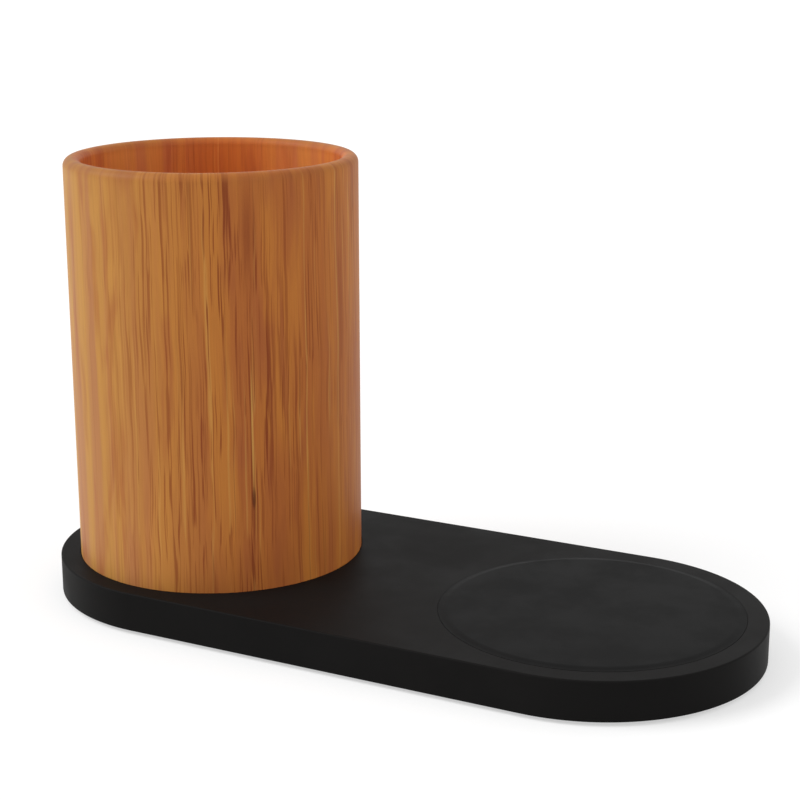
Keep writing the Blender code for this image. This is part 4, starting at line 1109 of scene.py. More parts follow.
@dataclass
class Cup(Assembly):
    """The cup: its wall of glued strips and its floor disc."""

    wall: float = 4.5 * MM
    lip_outer: float = 2.4 * MM
    lip_inner: float = 1.9 * MM
    lip_limit_share: float = 0.5
    lip_steps: int = 10
    foot_chamfer: float = 0.4 * MM
    floor_thickness: float = 6.0 * MM
    floor_lap: float = 2.0 * MM
    floor_edge: float = 0.3 * MM
    glue: float = 0.2 * MM
    strips: int = 42
    floor_strip: float = 6.5 * MM
    pale_angle: float = math.radians(-128)
    pale_bore_angle: float = math.radians(74)
    streaky_angle: float = math.radians(-70)
    streaky_power: int = 4
    pale_bore_share: float = 0.8
    sanding_start: float = 1.2
    segments: int = 288
    wall_rows: int = 60

    def build(self) -> None:
        """Builds the wall and the floor."""
        self.build_wall()
        self.build_floor()

    def build_wall(self) -> None:
        """Sweeps the wall's profile, with its round lip, and lays the grain over it."""
        lay = self.layout
        limit = self.wall * self.lip_limit_share
        outer, inner = min(self.lip_outer, limit), min(self.lip_inner, limit)
        bore = lay.cup_radius - self.wall
        ledge = lay.cup_low + self.floor_thickness + self.glue
        rebate = bore + self.floor_lap
        straight_top = lay.cup_top - outer
        straight_low = lay.cup_low + self.foot_chamfer
        profile = arc((lay.cup_radius - outer, straight_top), outer, math.pi / 2, 0, self.lip_steps)
        rows = range(1, self.wall_rows)
        fall = straight_low - straight_top
        profile += [(lay.cup_radius, straight_top + fall * i / self.wall_rows) for i in rows]
        profile += [
            (lay.cup_radius, straight_low),
            (lay.cup_radius - self.foot_chamfer, lay.cup_low),
            (rebate, lay.cup_low),
            (rebate, ledge),
            (bore, ledge),
        ]
        inner_top = lay.cup_top - inner
        profile += [(bore, ledge + (inner_top - ledge) * i / self.wall_rows) for i in rows]
        profile += arc((bore + inner, inner_top), inner, math.pi, math.pi / 2, self.lip_steps)
        mesh = self.shop.swept("cup_wall_bamboo", profile, BAMBOO_FINISH, lay.cup_radius,
                               (lay.cup_x, 0.0), segments=self.segments, closed=True)
        self.lay_grain(mesh, self.wall_grain)
        self.shop.add("cup_wall_bamboo", mesh, BAMBOO_FINISH, "cup_wall")

    def build_floor(self) -> None:
        """Turns the floor disc, with the board's strips running across it."""
        lay = self.layout
        radius = lay.cup_radius - self.wall + self.floor_lap - self.glue
        top, edge = lay.cup_low + self.floor_thickness, self.floor_edge
        profile = [(0.0, top), (radius - edge, top), (radius, top - edge), (radius, lay.cup_low + edge),
                   (radius - edge, lay.cup_low), (0.0, lay.cup_low)]
        mesh = self.shop.swept("cup_floor_bamboo", profile, BAMBOO_FINISH, radius, (lay.cup_x, 0.0),
                               segments=self.segments // 2)
        self.lay_grain(mesh, self.floor_grain)
        self.shop.add("cup_floor_bamboo", mesh, BAMBOO_FINISH, "cup_floor")

    def lay_grain(self, mesh: Mesh, rule: Callable[[Vector], Grain]) -> None:
        """Writes the attributes that the bamboo reads.

        Args:
            mesh: The mesh.
            rule: Gives a point's place along the fibres and its shares, by attribute.
        """
        found = [rule(vertex.co) for vertex in mesh.vertices]
        mesh.attributes.new("grain", "FLOAT_VECTOR", "POINT")
        for share in found[0][1]:
            mesh.attributes.new(share, "FLOAT", "POINT")
        grain = [part for place, _ in found for part in place]
        mesh.attributes["grain"].data.foreach_set("vector", grain)
        for share in found[0][1]:
            mesh.attributes[share].data.foreach_set("value", [shares[share] for _, shares in found])

    def wall_grain(self, point: Vector) -> Grain:
        """The fibres' place on the wall: up the outside, over the lip and down the inside.

        Args:
            point: A point of the wall.

        Returns:
            Its place along the fibres and its shares.
        """
        lay = self.layout
        angle = math.atan2(point.y, point.x - lay.cup_x)
        radius = math.hypot(point.x - lay.cup_x, point.y)
        if radius >= lay.cup_radius - self.wall / 2:
            along = point.z + lay.cup_radius - radius
            pale = max(0.0, math.cos(angle - self.pale_angle)) ** 2
        else:
            along = 2 * lay.cup_top + self.wall - point.z - (radius - lay.cup_radius + self.wall)
            pale = self.pale_bore_share * math.cos(2 * (angle - self.pale_bore_angle)) ** 2
        place = Vector((lay.cup_radius * math.cos(angle), lay.cup_radius * math.sin(angle), along))
        start = lay.cup_top - self.lip_outer * self.sanding_start
        bore_start = lay.cup_radius - self.wall + self.lip_inner
        shares = {
            "strip": (angle / math.tau + 0.5) * self.strips,
            "sanding": max(0.0, min(1.0, (point.z - start) / self.lip_outer)),
            "bore": max(0.0, min(1.0, (bore_start - radius) / self.lip_inner)),
            "pale": pale,
            "streaky": max(0.0, math.cos(angle - self.streaky_angle)) ** self.streaky_power,
        }
        return place, shares

    def floor_grain(self, point: Vector) -> Grain:
        """The fibres' place on the floor, along X."""
        shares = {"strip": point.y / self.floor_strip, "sanding": 0.0, "bore": 1.0, "pale": 0.0,
                  "streaky": 0.5}
        return Vector((point.y, point.z, point.x)), shares


@dataclass
class Housing(Assembly):
    """The moulded housing, open below, with its pockets, bosses and ribs."""

    wall: float = 2.2 * MM
    rim_wall: float = 1.0 * MM
    edge_round: float = 0.4 * MM
    deck_border: float = 2.2
    deck_steps: int = 6
    rim_steps: int = 5
    ledge: float = 3.3 * MM
    ceiling: float = 9.4 * MM
    cup_seat: float = 10.6 * MM
    seat_clearance: float = 0.2 * MM
    pad_clearance: float = 0.25 * MM
    glue: float = 0.2 * MM
    pocket_edge: float = 0.06 * MM
    root: float = 0.2 * MM
    segments: int = 192
    rib: float = 1.2 * MM
    rib_height: float = 1.6 * MM
    rib_step: float = 0.3 * MM
    hub_radius: float = 9.0 * MM
    ring_radius: float = 31.0 * MM
    spokes: int = 6
    stiffeners: int = 2
    stiffener_spacing: float = 13.0 * MM
    stiffener_length: float = 30.0 * MM
    case_boss: Triple = (3.0 * MM, 1.2 * MM, 5.1 * MM)
    cup_boss: Triple = (4.5 * MM, 1.6 * MM, 8.2 * MM)
    ear_boss: Triple = (2.6 * MM, 0.95 * MM, 7.28 * MM)
    board_boss: Triple = (2.6 * MM, 0.95 * MM, 8.7 * MM)
    case_bite: float = 3.6 * MM
    pilot_roof: float = 0.1 * MM
    board_bite: float = 1.0 * MM
    hook_offset: float = 31.0 * MM
    hook_pocket: Triple = (6.6 * MM, 1.9 * MM, 2.1 * MM)
    hook_pocket_wall: float = 1.3 * MM
    hook_pocket_low: float = 4.7 * MM

    def build(self, socket: "Socket") -> None:
        """Builds the shell, cuts its pockets and port and adds what stands under its deck.

        Args:
            socket: The socket that the port goes round.
        """
        lay = self.layout
        cutters = [
            self.pocket("cup_seat", lay.cup_x, lay.cup_radius + self.seat_clearance, self.cup_seat),
            self.pocket("pad_pocket", lay.pad_x, lay.pad_radius + self.pad_clearance,
                        lay.pad_low - self.glue),
            socket.port(HOUSING_FINISH, self.wall),
        ]
        cutters += self.hook_pockets()
        bosses = []
        for nodes, sizes, top in (
                (numbered("foot", FEET), self.case_boss, self.case_boss[2] + self.case_bite),
                (ScrewKind.CARRIER.nodes(), self.ear_boss, self.ceiling - self.pilot_roof),
                (ScrewKind.CUP.nodes(), self.cup_boss, self.cup_seat + OVER),
                (ScrewKind.BOARD.nodes(), self.board_boss, self.ceiling + self.board_bite)):
            outer, hole, low = sizes
            for node in nodes:
                bosses.append(self.shop.pillar(node, HOUSING_FINISH, outer, low, self.ceiling + self.root))
                cutters.append(self.shop.pillar(node, HOUSING_FINISH, hole, low - OVER, top))
        solid = merged("housing_solid", self.block(), self.ribs() + bosses, Merge.WELD)
        mesh = levelled(merged("housing_shell", solid, cutters, Merge.CUT))
        self.shop.add("housing_shell", mesh, HOUSING_FINISH, "housing")

    def block(self) -> Mesh:
        """The shell before it is cut: deck, wall and the thin rim that hides the cover's edge."""
        lay, edge, half = self.layout, self.edge_round, self.layout.half_width
        profile = [(half - edge * self.deck_border, lay.deck)]
        profile += arc((half - edge, lay.deck - edge), edge, math.pi / 2, 0, self.deck_steps)
        profile += arc((half - edge, lay.rim + edge), edge, 0, -math.pi / 2, self.rim_steps)
        profile += [
            (half - self.rim_wall, lay.rim),
            (half - self.rim_wall, self.ledge),
            (half - self.wall, self.ledge),
            (half - self.wall, self.ceiling),
        ]
        return self.shop.swept("housing_block", profile, HOUSING_FINISH, half, half_distance=lay.pad_x,
                               segments=self.segments, fill=True)

    def pocket(self, name: str, x: float, radius: float, floor: float) -> Mesh:
        """The shape of a round pocket in the deck, with a broken edge.

        Args:
            name: Its name.
            x: Its centre.
            radius: Its radius.
            floor: The height of its floor.

        Returns:
            The cutter's mesh.
        """
        deck, edge = self.layout.deck, self.pocket_edge
        profile = [(0.0, deck + OVER), (radius + edge + OVER, deck + OVER), (radius, deck - edge),
                   (radius, floor), (0.0, floor)]
        return self.shop.swept(name, profile, HOUSING_FINISH, radius, (x, 0.0), segments=self.segments)

    def hook_pockets(self) -> list[Mesh]:
        """The shapes of the pockets that the cover's hooks spring into, in both long walls."""
        width, depth, height = self.hook_pocket
        z = self.hook_pocket_low + height / 2
        reach = self.layout.half_width - self.hook_pocket_wall - depth / 2
        step = (2 * self.hook_offset, 0.0, 0.0)
        return [self.shop.row(HOUSING_FINISH, 2, (-self.hook_offset, side * reach, z), step,
                              (width, depth, height)) for side in (-1, 1)]

    def ribs(self) -> list[Mesh]:
        """The hub, ring and spokes under the cup, and the stiffeners in the middle."""
        cup, half = self.layout.cup_x, self.rib / 2
        low, top = self.ceiling - self.rib_height, self.ceiling + self.root
        found = []
        for radius in (self.hub_radius, self.ring_radius):
            profile = [(radius - half, top), (radius + half, top), (radius + half, low),
                       (radius - half, low)]
            found.append(self.shop.swept("ring_rib", profile, HOUSING_FINISH, radius, (cup, 0.0),
                                         segments=self.segments // 2, closed=True))
        spoke_low = low + self.rib_step
        size = (self.ring_radius - self.hub_radius, self.rib, top - spoke_low)
        found.append(self.shop.spokes.bake(
            "spokes", bpy.data.meshes.new("spoke_start"), HOUSING_FINISH, count=self.spokes, size=size,
            radius=(self.ring_radius + self.hub_radius) / 2, centre=(cup, 0.0, (spoke_low + top) / 2)))
        step = (0.0, -self.stiffener_spacing, 0.0)
        found.append(self.shop.row(HOUSING_FINISH, self.stiffeners, (0.0, step[1], (low + top) / 2), step,
                                   (self.stiffener_length, self.rib, top - low)))
        return found


@dataclass
class Pad(Assembly):
    """The charging pad."""

    lip: float = 0.2 * MM
    lip_height: float = 0.3 * MM
    shoulder: float = 2.6 * MM
    step: float = 0.04 * MM
    shoulder_steps: int = 10
    segments: int = 240

    def build(self) -> None:
        """Turns the pad, with a soft shoulder and a thin lip that all but closes the gap round it."""
        lay = self.layout
        reach, low = lay.pad_radius + self.lip, lay.deck + self.step
        profile = [(0.0, lay.pad_top)]
        for i in range(self.shoulder_steps + 1):
            share = i / self.shoulder_steps
            fall = (1 - math.cos(math.pi * share)) / 2
            profile.append((reach - self.shoulder * (1 - share), lay.pad_top + (low - lay.pad_top) * fall))
        under = low - self.lip_height
        profile += [(reach, under), (lay.pad_radius, under - self.lip), (lay.pad_radius, lay.pad_low),
                    (0.0, lay.pad_low)]
        mesh = self.shop.swept("charging_pad_rubber", profile, PAD_FINISH, lay.pad_radius,
                               (lay.pad_x, 0.0), segments=self.segments)
        self.shop.add("charging_pad_rubber", mesh, PAD_FINISH, "charging_pad")


@dataclass
class Foot(Assembly):
    """One rubber foot."""

    node: str
    edge: float = 0.35 * MM
    dish: float = 0.3 * MM
    dish_share: float = 0.5
    steps: int = 4
    segments: int = 64

    def build(self) -> None:
        """Turns the foot with a round edge and a dished sole."""
        low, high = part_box(self.node)
        radius = (high.x - low.x) / 2
        hollow = radius * self.dish_share
        edge, dish, turn = self.edge, self.dish, math.pi / 2
        profile = [(0.0, high.z), (radius - edge, high.z)]
        profile += arc((radius - edge, high.z - edge), edge, turn, 0, self.steps)
        profile += arc((radius - edge, edge), edge, 0, -turn, self.steps)
        profile += arc((hollow, dish), dish, -turn, -2 * turn, self.steps)
        profile += [(0.0, dish)]
        mesh = self.shop.turned(self.node + "_rubber", profile, FOOT_FINISH, middle(self.node),
                                segments=self.segments)
        self.shop.add(self.node + "_rubber", mesh, FOOT_FINISH, self.node)


@dataclass
class Socket(Assembly):
    """The charging socket in the rear wall."""

    port_clearance: float = 0.25 * MM
    funnel: float = 0.5 * MM
    shell: float = 0.3 * MM
    lip: float = 0.08 * MM
    contacts: int = 12
    contact_pitch: float = 0.5 * MM
    contact_size: Triple = (0.28 * MM, 2.2 * MM, 0.05 * MM)
    contact_setback: float = 0.35 * MM
    tongue: float = 0.7 * MM
    tongue_setback: float = 0.7 * MM
    steps: int = 16

    def outline(self, grow: float, y: float) -> list[Vector]:
        """The socket's stadium outline.

        Args:
            grow: How far it stands off the shell.
            y: How far back it is.

        Returns:
            The outline's points.
        """
        low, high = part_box("usb_c_shell")
        height = (low.z + high.z) / 2
        half = (high.z - low.z) / 2 + grow
        side = (high.x - low.x) / 2 + grow - half
        right = arc((side, height), half, -math.pi / 2, math.pi / 2, self.steps)
        left = arc((-side, height), half, math.pi / 2, 3 * math.pi / 2, self.steps)
        return [Vector((x, y, z)) for x, z in right + left]

    def port(self, finish: Finish, wall: float) -> Mesh:
        """The shape of the port through the housing's wall, with its bevelled lead-in.

        Args:
            finish: The housing's finish.
            wall: The wall's thickness.

        Returns:
            The cutter's mesh.
        """
        rear, gap = self.layout.half_width, self.port_clearance
        stations = [(rear - wall - OVER, gap), (rear - self.funnel, gap),
                    (rear + OVER, gap + self.funnel + OVER)]
        return lofted("socket_port", [self.outline(grow, y) for y, grow in stations], finish)

    def build(self) -> None:
        """Draws the shell with its lip, and sets the contacts on the tongue."""
        low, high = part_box("usb_c_shell")
        back, front, thin, lip = low.y, high.y, self.shell, self.lip
        stations = [(back, 0.0), (front - lip, 0.0), (front, -lip), (front, lip - thin),
                    (front - lip, -thin), (back, -thin)]
        rings = [self.outline(grow, y) for y, grow in stations]
        mesh = lofted("usb_c_shell", rings, STEEL_FINISH, loop=True)
        self.shop.add("usb_c_shell_drawn", mesh, STEEL_FINISH, "usb_c_shell")

        width, length, thick = self.contact_size
        y = front - self.tongue_setback - self.contact_setback - length / 2
        first, height = -self.contact_pitch * (self.contacts - 1) / 2, (low.z + high.z) / 2
        rows = [self.shop.row(GOLD_FINISH, self.contacts, (first, y, height + side * self.tongue / 2),
                              (self.contact_pitch, 0.0, 0.0), (width, length, thick)) for side in (-1, 1)]
        mesh = joined("insulator", [self.shop.copy("usb_c_insulator", CHIP_FINISH), *rows])
        self.shop.add("usb_c_insulator_contacts", mesh, CHIP_FINISH, "usb_c_insulator")


def lofted(name: str, rings: Sequence[Sequence[Vector]], finish: Finish, loop: bool = False) -> Mesh:
    """A closed solid through rings of points.

    Args:
        name: Its name.
        rings: Rings with as many points each.
        finish: Its finish.
        loop: Whether the last ring meets the first. Without it both ends are capped.

    Returns:
        The mesh.
    """
    mesh = bpy.data.meshes.new(name)
    work = bmesh.new()
    made = [[work.verts.new(p) for p in ring] for ring in rings]
    pairs = list(zip(made, made[1:]))
    if loop:
        pairs.append((made[-1], made[0]))
    for near, far in pairs:
        for i in range(len(near)):
            j = (i + 1) % len(near)
            work.faces.new((near[i], near[j], far[j], far[i]))
    if not loop:
        work.faces.new(made[0])
        work.faces.new(made[-1])
    work.to_mesh(mesh)
    work.free()
    mesh.materials.append(finish.material())
    return tidy(mesh)


@dataclass
class CoilSeat(Assembly):
    """The ferrite plate, and the carrier that holds it and the coil up to the deck."""

    ferrite_hole: float = 9.2 * MM
    slot: float = 1.8 * MM
    slot_start: float = 6.5 * MM
    plate: float = 1.5 * MM
    plate_hole: float = 13.0 * MM
    clearance: float = 0.3 * MM
    wall: float = 1.2 * MM
    ear: float = 3.2 * MM
    ear_hole: float = 1.15 * MM
    ear_steps: int = 24
    notch: float = 3.0 * MM
    inner_lead: Point = (-35.7 * MM, 19.0 * MM)
    outer_lead: Point = (-5.125 * MM, 22.0 * MM)
    segments: int = 192

    def build(self) -> None:
        """Builds the plate and the carrier."""
        low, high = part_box("ferrite_plate")
        radius = (high.x - low.x) / 2
        lead = math.atan2(self.inner_lead[1], self.inner_lead[0])
        self.build_ferrite(radius, lead)
        self.build_carrier(radius, lead)

    def build_ferrite(self, radius: float, lead: float) -> None:
        """Sweeps the plate and cuts its slot.

        Args:
            radius: The plate's radius.
            lead: The angle of the coil's inner lead.
        """
        low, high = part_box("ferrite_plate")
        profile = [(self.ferrite_hole, high.z), (radius, high.z), (radius, low.z),
                   (self.ferrite_hole, low.z)]
        ring = self.shop.swept("ferrite_ring", profile, FERRITE_FINISH, radius,
                               (self.layout.pad_x, 0.0), segments=self.segments, closed=True)
        bar = self.bar(self.slot_start, radius + OVER, 0.0, self.slot)
        slot = self.slab(bar, lead, low.z - OVER, high.z + OVER, FERRITE_FINISH)
        mesh = levelled(merged("ferrite_plate_fired", ring, [slot], Merge.CUT))
        self.shop.add("ferrite_plate_fired", mesh, FERRITE_FINISH, "ferrite_plate")

    def build_carrier(self, ferrite_radius: float, lead: float) -> None:
        """Sweeps the dish, welds its ears on and cuts the notches and the ears' holes.

        Args:
            ferrite_radius: The radius of the plate that lies in it.
            lead: The angle of the coil's inner lead.
        """
        low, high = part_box("coil_carrier")
        top, inside = low.z + self.plate, ferrite_radius + self.clearance
        outside = inside + self.wall
        profile = [(self.plate_hole, top), (inside, top), (inside, high.z), (outside, high.z),
                   (outside, low.z), (self.plate_hole, low.z)]
        dish = self.shop.swept("carrier_dish", profile, CARRIER_FINISH, outside,
                               (self.layout.pad_x, 0.0), segments=self.segments, closed=True)
        inner_notch = self.bar(self.plate_hole, outside + OVER, 0.0, self.notch)
        outer_notch = self.bar(-outside, self.outer_lead[0], self.outer_lead[1], self.notch)
        ears = []
        cutters = [self.slab(outline, angle, top, high.z + OVER, CARRIER_FINISH)
                   for outline, angle in ((inner_notch, lead), (outer_notch, 0.0))]
        for node in ScrewKind.CARRIER.nodes():
            x, y = middle(node)
            x -= self.layout.pad_x
            outline = arc((math.hypot(x, y), 0.0), self.ear, -math.pi / 2, math.pi / 2, self.ear_steps)
            outline += [(ferrite_radius, self.ear), (ferrite_radius, -self.ear)]
            ears.append(self.slab(outline, math.atan2(y, x), low.z, top, CARRIER_FINISH))
            cutters.append(self.shop.pillar(node, CARRIER_FINISH, self.ear_hole, low.z - OVER, top + OVER))
        solid = merged("carrier_solid", dish, ears, Merge.WELD)
        mesh = levelled(merged("coil_carrier_moulded", solid, cutters, Merge.CUT))
        self.shop.add("coil_carrier_moulded", mesh, CARRIER_FINISH, "coil_carrier")

    @staticmethod
    def bar(start: float, end: float, y: float, width: float) -> list[Point]:
        """The corners of a bar along X, whose middle line is at y."""
        return [(start, y - width / 2), (end, y - width / 2), (end, y + width / 2), (start, y + width / 2)]

    def slab(self, outline: Sequence[Point], angle: float, low: float, top: float,
             finish: Finish) -> Mesh:
        """An upright prism, turned about the pad's axis.

        Args:
            outline: Its outline, drawn round that axis.
            angle: How far it is turned.
            low: The height of its lower face.
            top: The height of its upper face.
            finish: Its finish.

        Returns:
            The mesh.
        """
        mesh = lofted("slab", [[Vector((*point, z)) for point in outline] for z in (low, top)], finish)
        mesh.transform(Matrix.Translation((self.layout.pad_x, 0.0, 0.0)) @ Matrix.Rotation(angle, 4, "Z"))
        return mesh


@dataclass
class Screws(Assembly):
    """The screws of one kind: pan heads with a cross recess, and a rolled thread."""

    kind: ScrewKind
    round_share: float = 0.45
    core_share: float = 0.80
    crest_share: float = 0.16
    pitch_share: float = 0.75
    taper_share: float = 0.8
    bar_length_share: float = 1.15
    bar_width_share: float = 0.30
    recess_share: float = 0.55
    points_per_turn: int = 20
    thread_sides: int = 6
    head_steps: int = 5

    def build(self) -> None:
        """Makes one screw and sets a copy of it in each place."""
        nodes = self.kind.nodes()
        low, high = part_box(nodes[0])
        pattern = self.pattern((high.x - low.x) / 2, high.z - low.z)
        for node in nodes:
            mesh = pattern.copy()
            mesh.transform(Matrix.Translation((*middle(node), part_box(node)[0].z)))
            self.shop.add(node + "_plated", mesh, STEEL_FINISH, node)
        bpy.data.meshes.remove(pattern)

    def pattern(self, radius: float, length: float) -> Mesh:
        """One screw that points up, with its head's face at height 0.

        Args:
            radius: The head's radius.
            length: From the head's face to the tip.

        Returns:
            The mesh.
        """
        shank, head = self.kind.value.shank, self.kind.value.head
        core, off, taper = shank * self.core_share, head * self.round_share, shank * self.taper_share
        profile = [(0.0, length), (core / 2, length), (core, length - taper), (core, head), (radius, head)]
        profile += arc((radius - off, off), off, 0, -math.pi / 2, self.head_steps)
        profile += [(0.0, 0.0)]
        body = self.shop.turned("screw", profile, STEEL_FINISH, (0.0, 0.0))
        deep, thin = 2 * head * self.recess_share, radius * self.bar_width_share
        reach = radius * self.bar_length_share
        bars = [self.shop.row(STEEL_FINISH, 1, (0.0, 0.0, 0.0), (MM, 0.0, 0.0), size)
                for size in ((reach, thin, deep), (thin, reach, deep))]
        crest = shank * self.crest_share
        pitch = shank * self.pitch_share
        start, stop = head + pitch / 2, length - taper
        count = round((stop - start) / pitch * self.points_per_turn)
        route = []
        for i in range(count + 1):
            angle = i / self.points_per_turn * math.tau
            route.append(((shank - crest) * math.cos(angle), (shank - crest) * math.sin(angle),
                          start + pitch * angle / math.tau))
        thread = tidy(self.shop.wire(route, STEEL_FINISH, crest, self.thread_sides))
        return joined("screw", [merged("screw", body, bars, Merge.CUT), thread])


@dataclass
class Board(Assembly):
    """The circuit board and the components that hang under it."""

    bridge_chips: int = 2
    capacitors: tuple[tuple[str, int], ...] = (("resonant_capacitor", 4), ("input_capacitor", 2))
    leg_width: float = 0.42 * MM
    leg_pitch: float = 1.27 * MM
    leg_reach: float = 1.0 * MM
    leg_thickness: float = 0.16 * MM
    legs: int = 4
    land_pitch: float = 0.5 * MM
    land_width: float = 0.25 * MM
    land_reach: float = 0.3 * MM
    lands: int = 12
    solder: float = 0.1 * MM
    cap_length: float = 0.5 * MM
    cap_proud: float = 0.06 * MM
    tab: Span = (1.2 * MM, 3.0 * MM)

    def build(self) -> None:
        """Finishes the board and dresses each component."""
        self.shop.refined("circuit_board", BOARD_FINISH)
        rows = self.lead_rows("control_chip", self.lands, self.land_pitch, self.land_width,
                              self.land_reach, True)
        self.dress("control_chip", CHIP_FINISH, rows)
        for node in numbered("bridge_chip", self.bridge_chips):
            rows = self.lead_rows(node, self.legs, self.leg_pitch, self.leg_width, self.leg_reach, False)
            self.dress(node, CHIP_FINISH, rows + self.knees(node))
        for stem, count in self.capacitors:
            for node in numbered(stem, count):
                self.dress(node, CERAMIC_FINISH, [self.end_caps(node)])
        self.dress("power_inductor", FERRITE_FINISH, [self.tabs()])

    def dress(self, node: str, finish: Finish, metal: Sequence[Mesh]) -> None:
        """Joins a component's metal to its body.

        Args:
            node: The component's node.
            finish: Its body's finish.
            metal: Its legs, lands or caps.
        """
        mesh = joined(node, [self.shop.copy(node, finish), *metal])
        self.shop.add(node + "_soldered", mesh, finish, node)

    def lead_rows(self, node: str, count: int, pitch: float, width: float, reach: float,
                  all_round: bool) -> list[Mesh]:
        """Rows of flat leads at the board, along a component's sides.

        Args:
            node: The component's node.
            count: Leads in a row.
            pitch: From one to the next.
            width: Each one's width.
            reach: How far it stands out.
            all_round: Whether the ends have rows too.

        Returns:
            The rows.
        """
        low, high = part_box(node)
        x, y = middle(node)
        z = high.z + self.solder - self.leg_thickness / 2
        start = pitch * (count - 1) / 2
        rows = []
        for side in (-1, 1):
            edge = y + side * ((high.y - low.y) / 2 + reach / 2)
            rows.append(self.shop.row(STEEL_FINISH, count, (x - start, edge, z), (pitch, 0.0, 0.0),
                                      (width, reach, self.leg_thickness)))
            if all_round:
                edge = x + side * ((high.x - low.x) / 2 + reach / 2)
                rows.append(self.shop.row(STEEL_FINISH, count, (edge, y - start, z), (0.0, pitch, 0.0),
                                          (reach, width, self.leg_thickness)))
        return rows

    def knees(self, node: str) -> list[Mesh]:
        """The upright parts of a bridge chip's bent legs, from its middle to the board."""
        low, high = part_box(node)
        x, y = middle(node)
        tall = (high.z - low.z) / 2 + self.solder
        size = (self.leg_width, self.leg_thickness * 2, tall)
        first, out = x - self.leg_pitch * (self.legs - 1) / 2, (high.y - low.y + self.leg_thickness) / 2
        return [self.shop.row(STEEL_FINISH, self.legs,
                              (first, y + side * out, high.z + self.solder - tall / 2),
                              (self.leg_pitch, 0.0, 0.0), size) for side in (-1, 1)]

    def end_caps(self, node: str) -> Mesh:
        """A capacitor's two plated ends."""
        low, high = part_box(node)
        x, y = middle(node)
        span = high.x - low.x + self.cap_proud
        size = (self.cap_length, high.y - low.y + self.cap_proud, high.z - low.z + self.cap_proud)
        first = (x - (span - self.cap_length) / 2, y, (low.z + high.z) / 2)
        return self.shop.row(STEEL_FINISH, 2, first, (span - self.cap_length, 0.0, 0.0), size)

    def tabs(self) -> Mesh:
        """The inductor's two solder tabs."""
        low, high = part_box("power_inductor")
        x, y = middle("power_inductor")
        length, width = self.tab
        span = high.x - low.x
        first = (x - span / 2, y, high.z + self.solder - self.leg_thickness / 2)
        return self.shop.row(STEEL_FINISH, 2, first, (span, 0.0, 0.0), (length, width, self.leg_thickness))


# Lights, floor and camera


@dataclass
class Lamp:
    """A soft light so far away that it lights floor and part evenly."""

    name: str
    azimuth: float
    elevation: float
    strength: float
    spread: float
    colour: Triple = (1.0, 1.0, 1.0)

    def build(self) -> None:
        """Adds the light. Azimuth 0 is in front of the part and 90 on its right."""
        data = bpy.data.lights.new(self.name, "SUN")
        data.energy = self.strength
        data.angle = math.radians(self.spread)
        data.color = self.colour
        lamp = bpy.data.objects.new(self.name, data)
        bpy.context.scene.collection.objects.link(lamp)
        around, height = math.radians(self.azimuth), math.radians(self.elevation)
        place = Vector((math.sin(around) * math.cos(height), -math.cos(around) * math.cos(height),
                        math.sin(height)))
        lamp.location = place
        lamp.rotation_euler = (-place).to_track_quat("-Z", "Y").to_euler()


def seen_directly(graph: Graph) -> Pin:
    """A share that is 1 for the camera and for what metal and glass show."""
    path = graph.add("ShaderNodeLightPath").outputs
    seen = graph.maths("MAXIMUM", path["Is Camera Ray"], path["Is Glossy Ray"])
    return graph.maths("MAXIMUM", seen, path["Is Transmission Ray"])


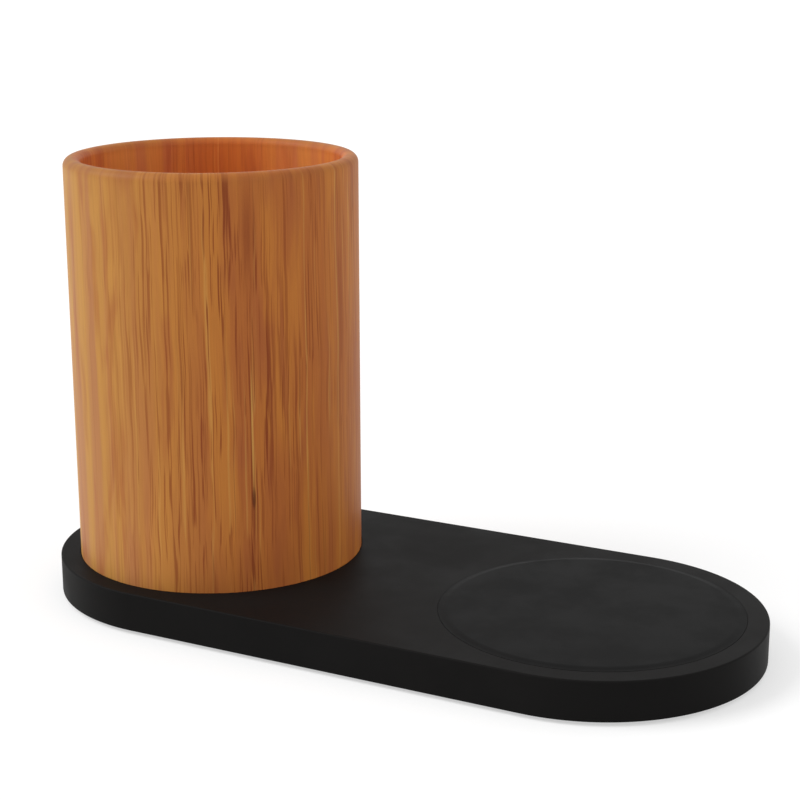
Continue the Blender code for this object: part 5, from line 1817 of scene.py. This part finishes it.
@dataclass
class Studio:
    """Floor, surroundings, lights and camera."""

    camera_place: Triple = (215.047 * MM, -408.922 * MM, 183.851 * MM)
    yaw: float = 0.48254
    pitch: float = 0.26245
    roll: float = -0.00199
    lens: float = 82.734
    sensor: float = 36.0
    near: float = 10 * MM
    floor_side: float = 12.0
    floor_tone: float = 0.50
    floor_mottle: float = 0.99
    floor_clouds: float = 12.0
    floor_roughness: float = 0.9
    floor_specular: float = 0.1
    floor_lift: float = 0.52
    sky: float = 0.72

    def build(self) -> None:
        """Builds the studio."""
        scene = bpy.context.scene
        scene.view_settings.view_transform = "Standard"
        self.build_floor()
        self.build_world()
        Lamp("key_light", azimuth=-58.0, elevation=40.0, strength=1.75, spread=35.0).build()
        Lamp("fill_light", azimuth=72.0, elevation=24.0, strength=0.35, spread=60.0).build()
        self.build_camera()

    def build_floor(self) -> None:
        """A pale floor that shows white to the camera and keeps the part's shadow."""
        material = bpy.data.materials.new("studio_floor")
        material.use_nodes = True
        graph = Graph(material.node_tree)
        shader = material.node_tree.nodes["Principled BSDF"]
        shader.inputs["Roughness"].default_value = self.floor_roughness
        shader.inputs["Specular IOR Level"].default_value = self.floor_specular
        shader.inputs["Emission Color"].default_value = WHITE
        clouds = graph.noise(Finish.place(graph), self.floor_clouds)
        tone = graph.spread(clouds, *EVEN, self.floor_tone * self.floor_mottle, self.floor_tone)
        graph.feed(shader.inputs["Base Color"],
                   graph.add("ShaderNodeCombineColor", {0: tone, 1: tone, 2: tone}))
        graph.feed(shader.inputs["Emission Strength"], graph.product(seen_directly(graph), self.floor_lift))
        half = self.floor_side / 2
        mesh = bpy.data.meshes.new("studio_floor")
        mesh.from_pydata([(-half, -half, 0), (half, -half, 0), (half, half, 0), (-half, half, 0)], [],
                         [(0, 1, 2, 3)])
        mesh.materials.append(material)
        floor = bpy.data.objects.new("studio_floor", mesh)
        bpy.context.scene.collection.objects.link(floor)

    def build_world(self) -> None:
        """Even light from all round, and white where the camera looks past the floor."""
        world = bpy.data.worlds.new("studio")
        bpy.context.scene.world = world
        world.use_nodes = True
        graph = Graph(world.node_tree)
        background = world.node_tree.nodes["Background"]
        background.inputs["Color"].default_value = WHITE
        level = graph.maths("MULTIPLY_ADD", seen_directly(graph), 1.0 - self.sky, self.sky)
        graph.feed(background.inputs["Strength"], level)

    def build_camera(self) -> None:
        """The camera at the photograph's viewpoint."""
        cos_pitch = math.cos(self.pitch)
        back = Vector((math.sin(self.yaw) * cos_pitch, -math.cos(self.yaw) * cos_pitch,
                       math.sin(self.pitch)))
        right = Vector((0.0, 0.0, 1.0)).cross(back).normalized()
        up = back.cross(right)
        cos_roll, sin_roll = math.cos(self.roll), math.sin(self.roll)
        rolled_right = right * cos_roll + up * sin_roll
        rolled_up = up * cos_roll - right * sin_roll
        turn = Matrix((rolled_right, rolled_up, back)).transposed().to_4x4()
        data = bpy.data.cameras.new("camera")
        data.lens = self.lens
        data.sensor_width = self.sensor
        data.clip_start = self.near
        camera = bpy.data.objects.new("camera", data)
        bpy.context.scene.collection.objects.link(camera)
        camera.matrix_world = Matrix.Translation(self.camera_place) @ turn
        bpy.context.scene.camera = camera


def clear_stage() -> None:
    """Removes the objects of Blender's start scene."""
    for obj in list(bpy.data.objects):
        bpy.data.objects.remove(obj, do_unlink=True)


def main() -> None:
    """Builds the looks round the frame."""
    logging.basicConfig(level=logging.INFO, format="%(message)s")
    clear_stage()
    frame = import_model()
    layout = Layout.measured()
    Studio().build()
    shop = Workshop(frame)
    socket = Socket(shop, layout)
    Cup(shop, layout).build()
    Housing(shop, layout).build(socket)
    Pad(shop, layout).build()
    for node in numbered("foot", FEET):
        Foot(shop, layout, node).build()
    socket.build()
    for kind in ScrewKind:
        Screws(shop, layout, kind).build()
    CoilSeat(shop, layout).build()
    Board(shop, layout).build()
    for node, finish in (("bottom_cover", COVER_FINISH), ("charging_coil", WIRE_FINISH)):
        shop.refined(node, finish)


if __name__ == "__main__":
    main()
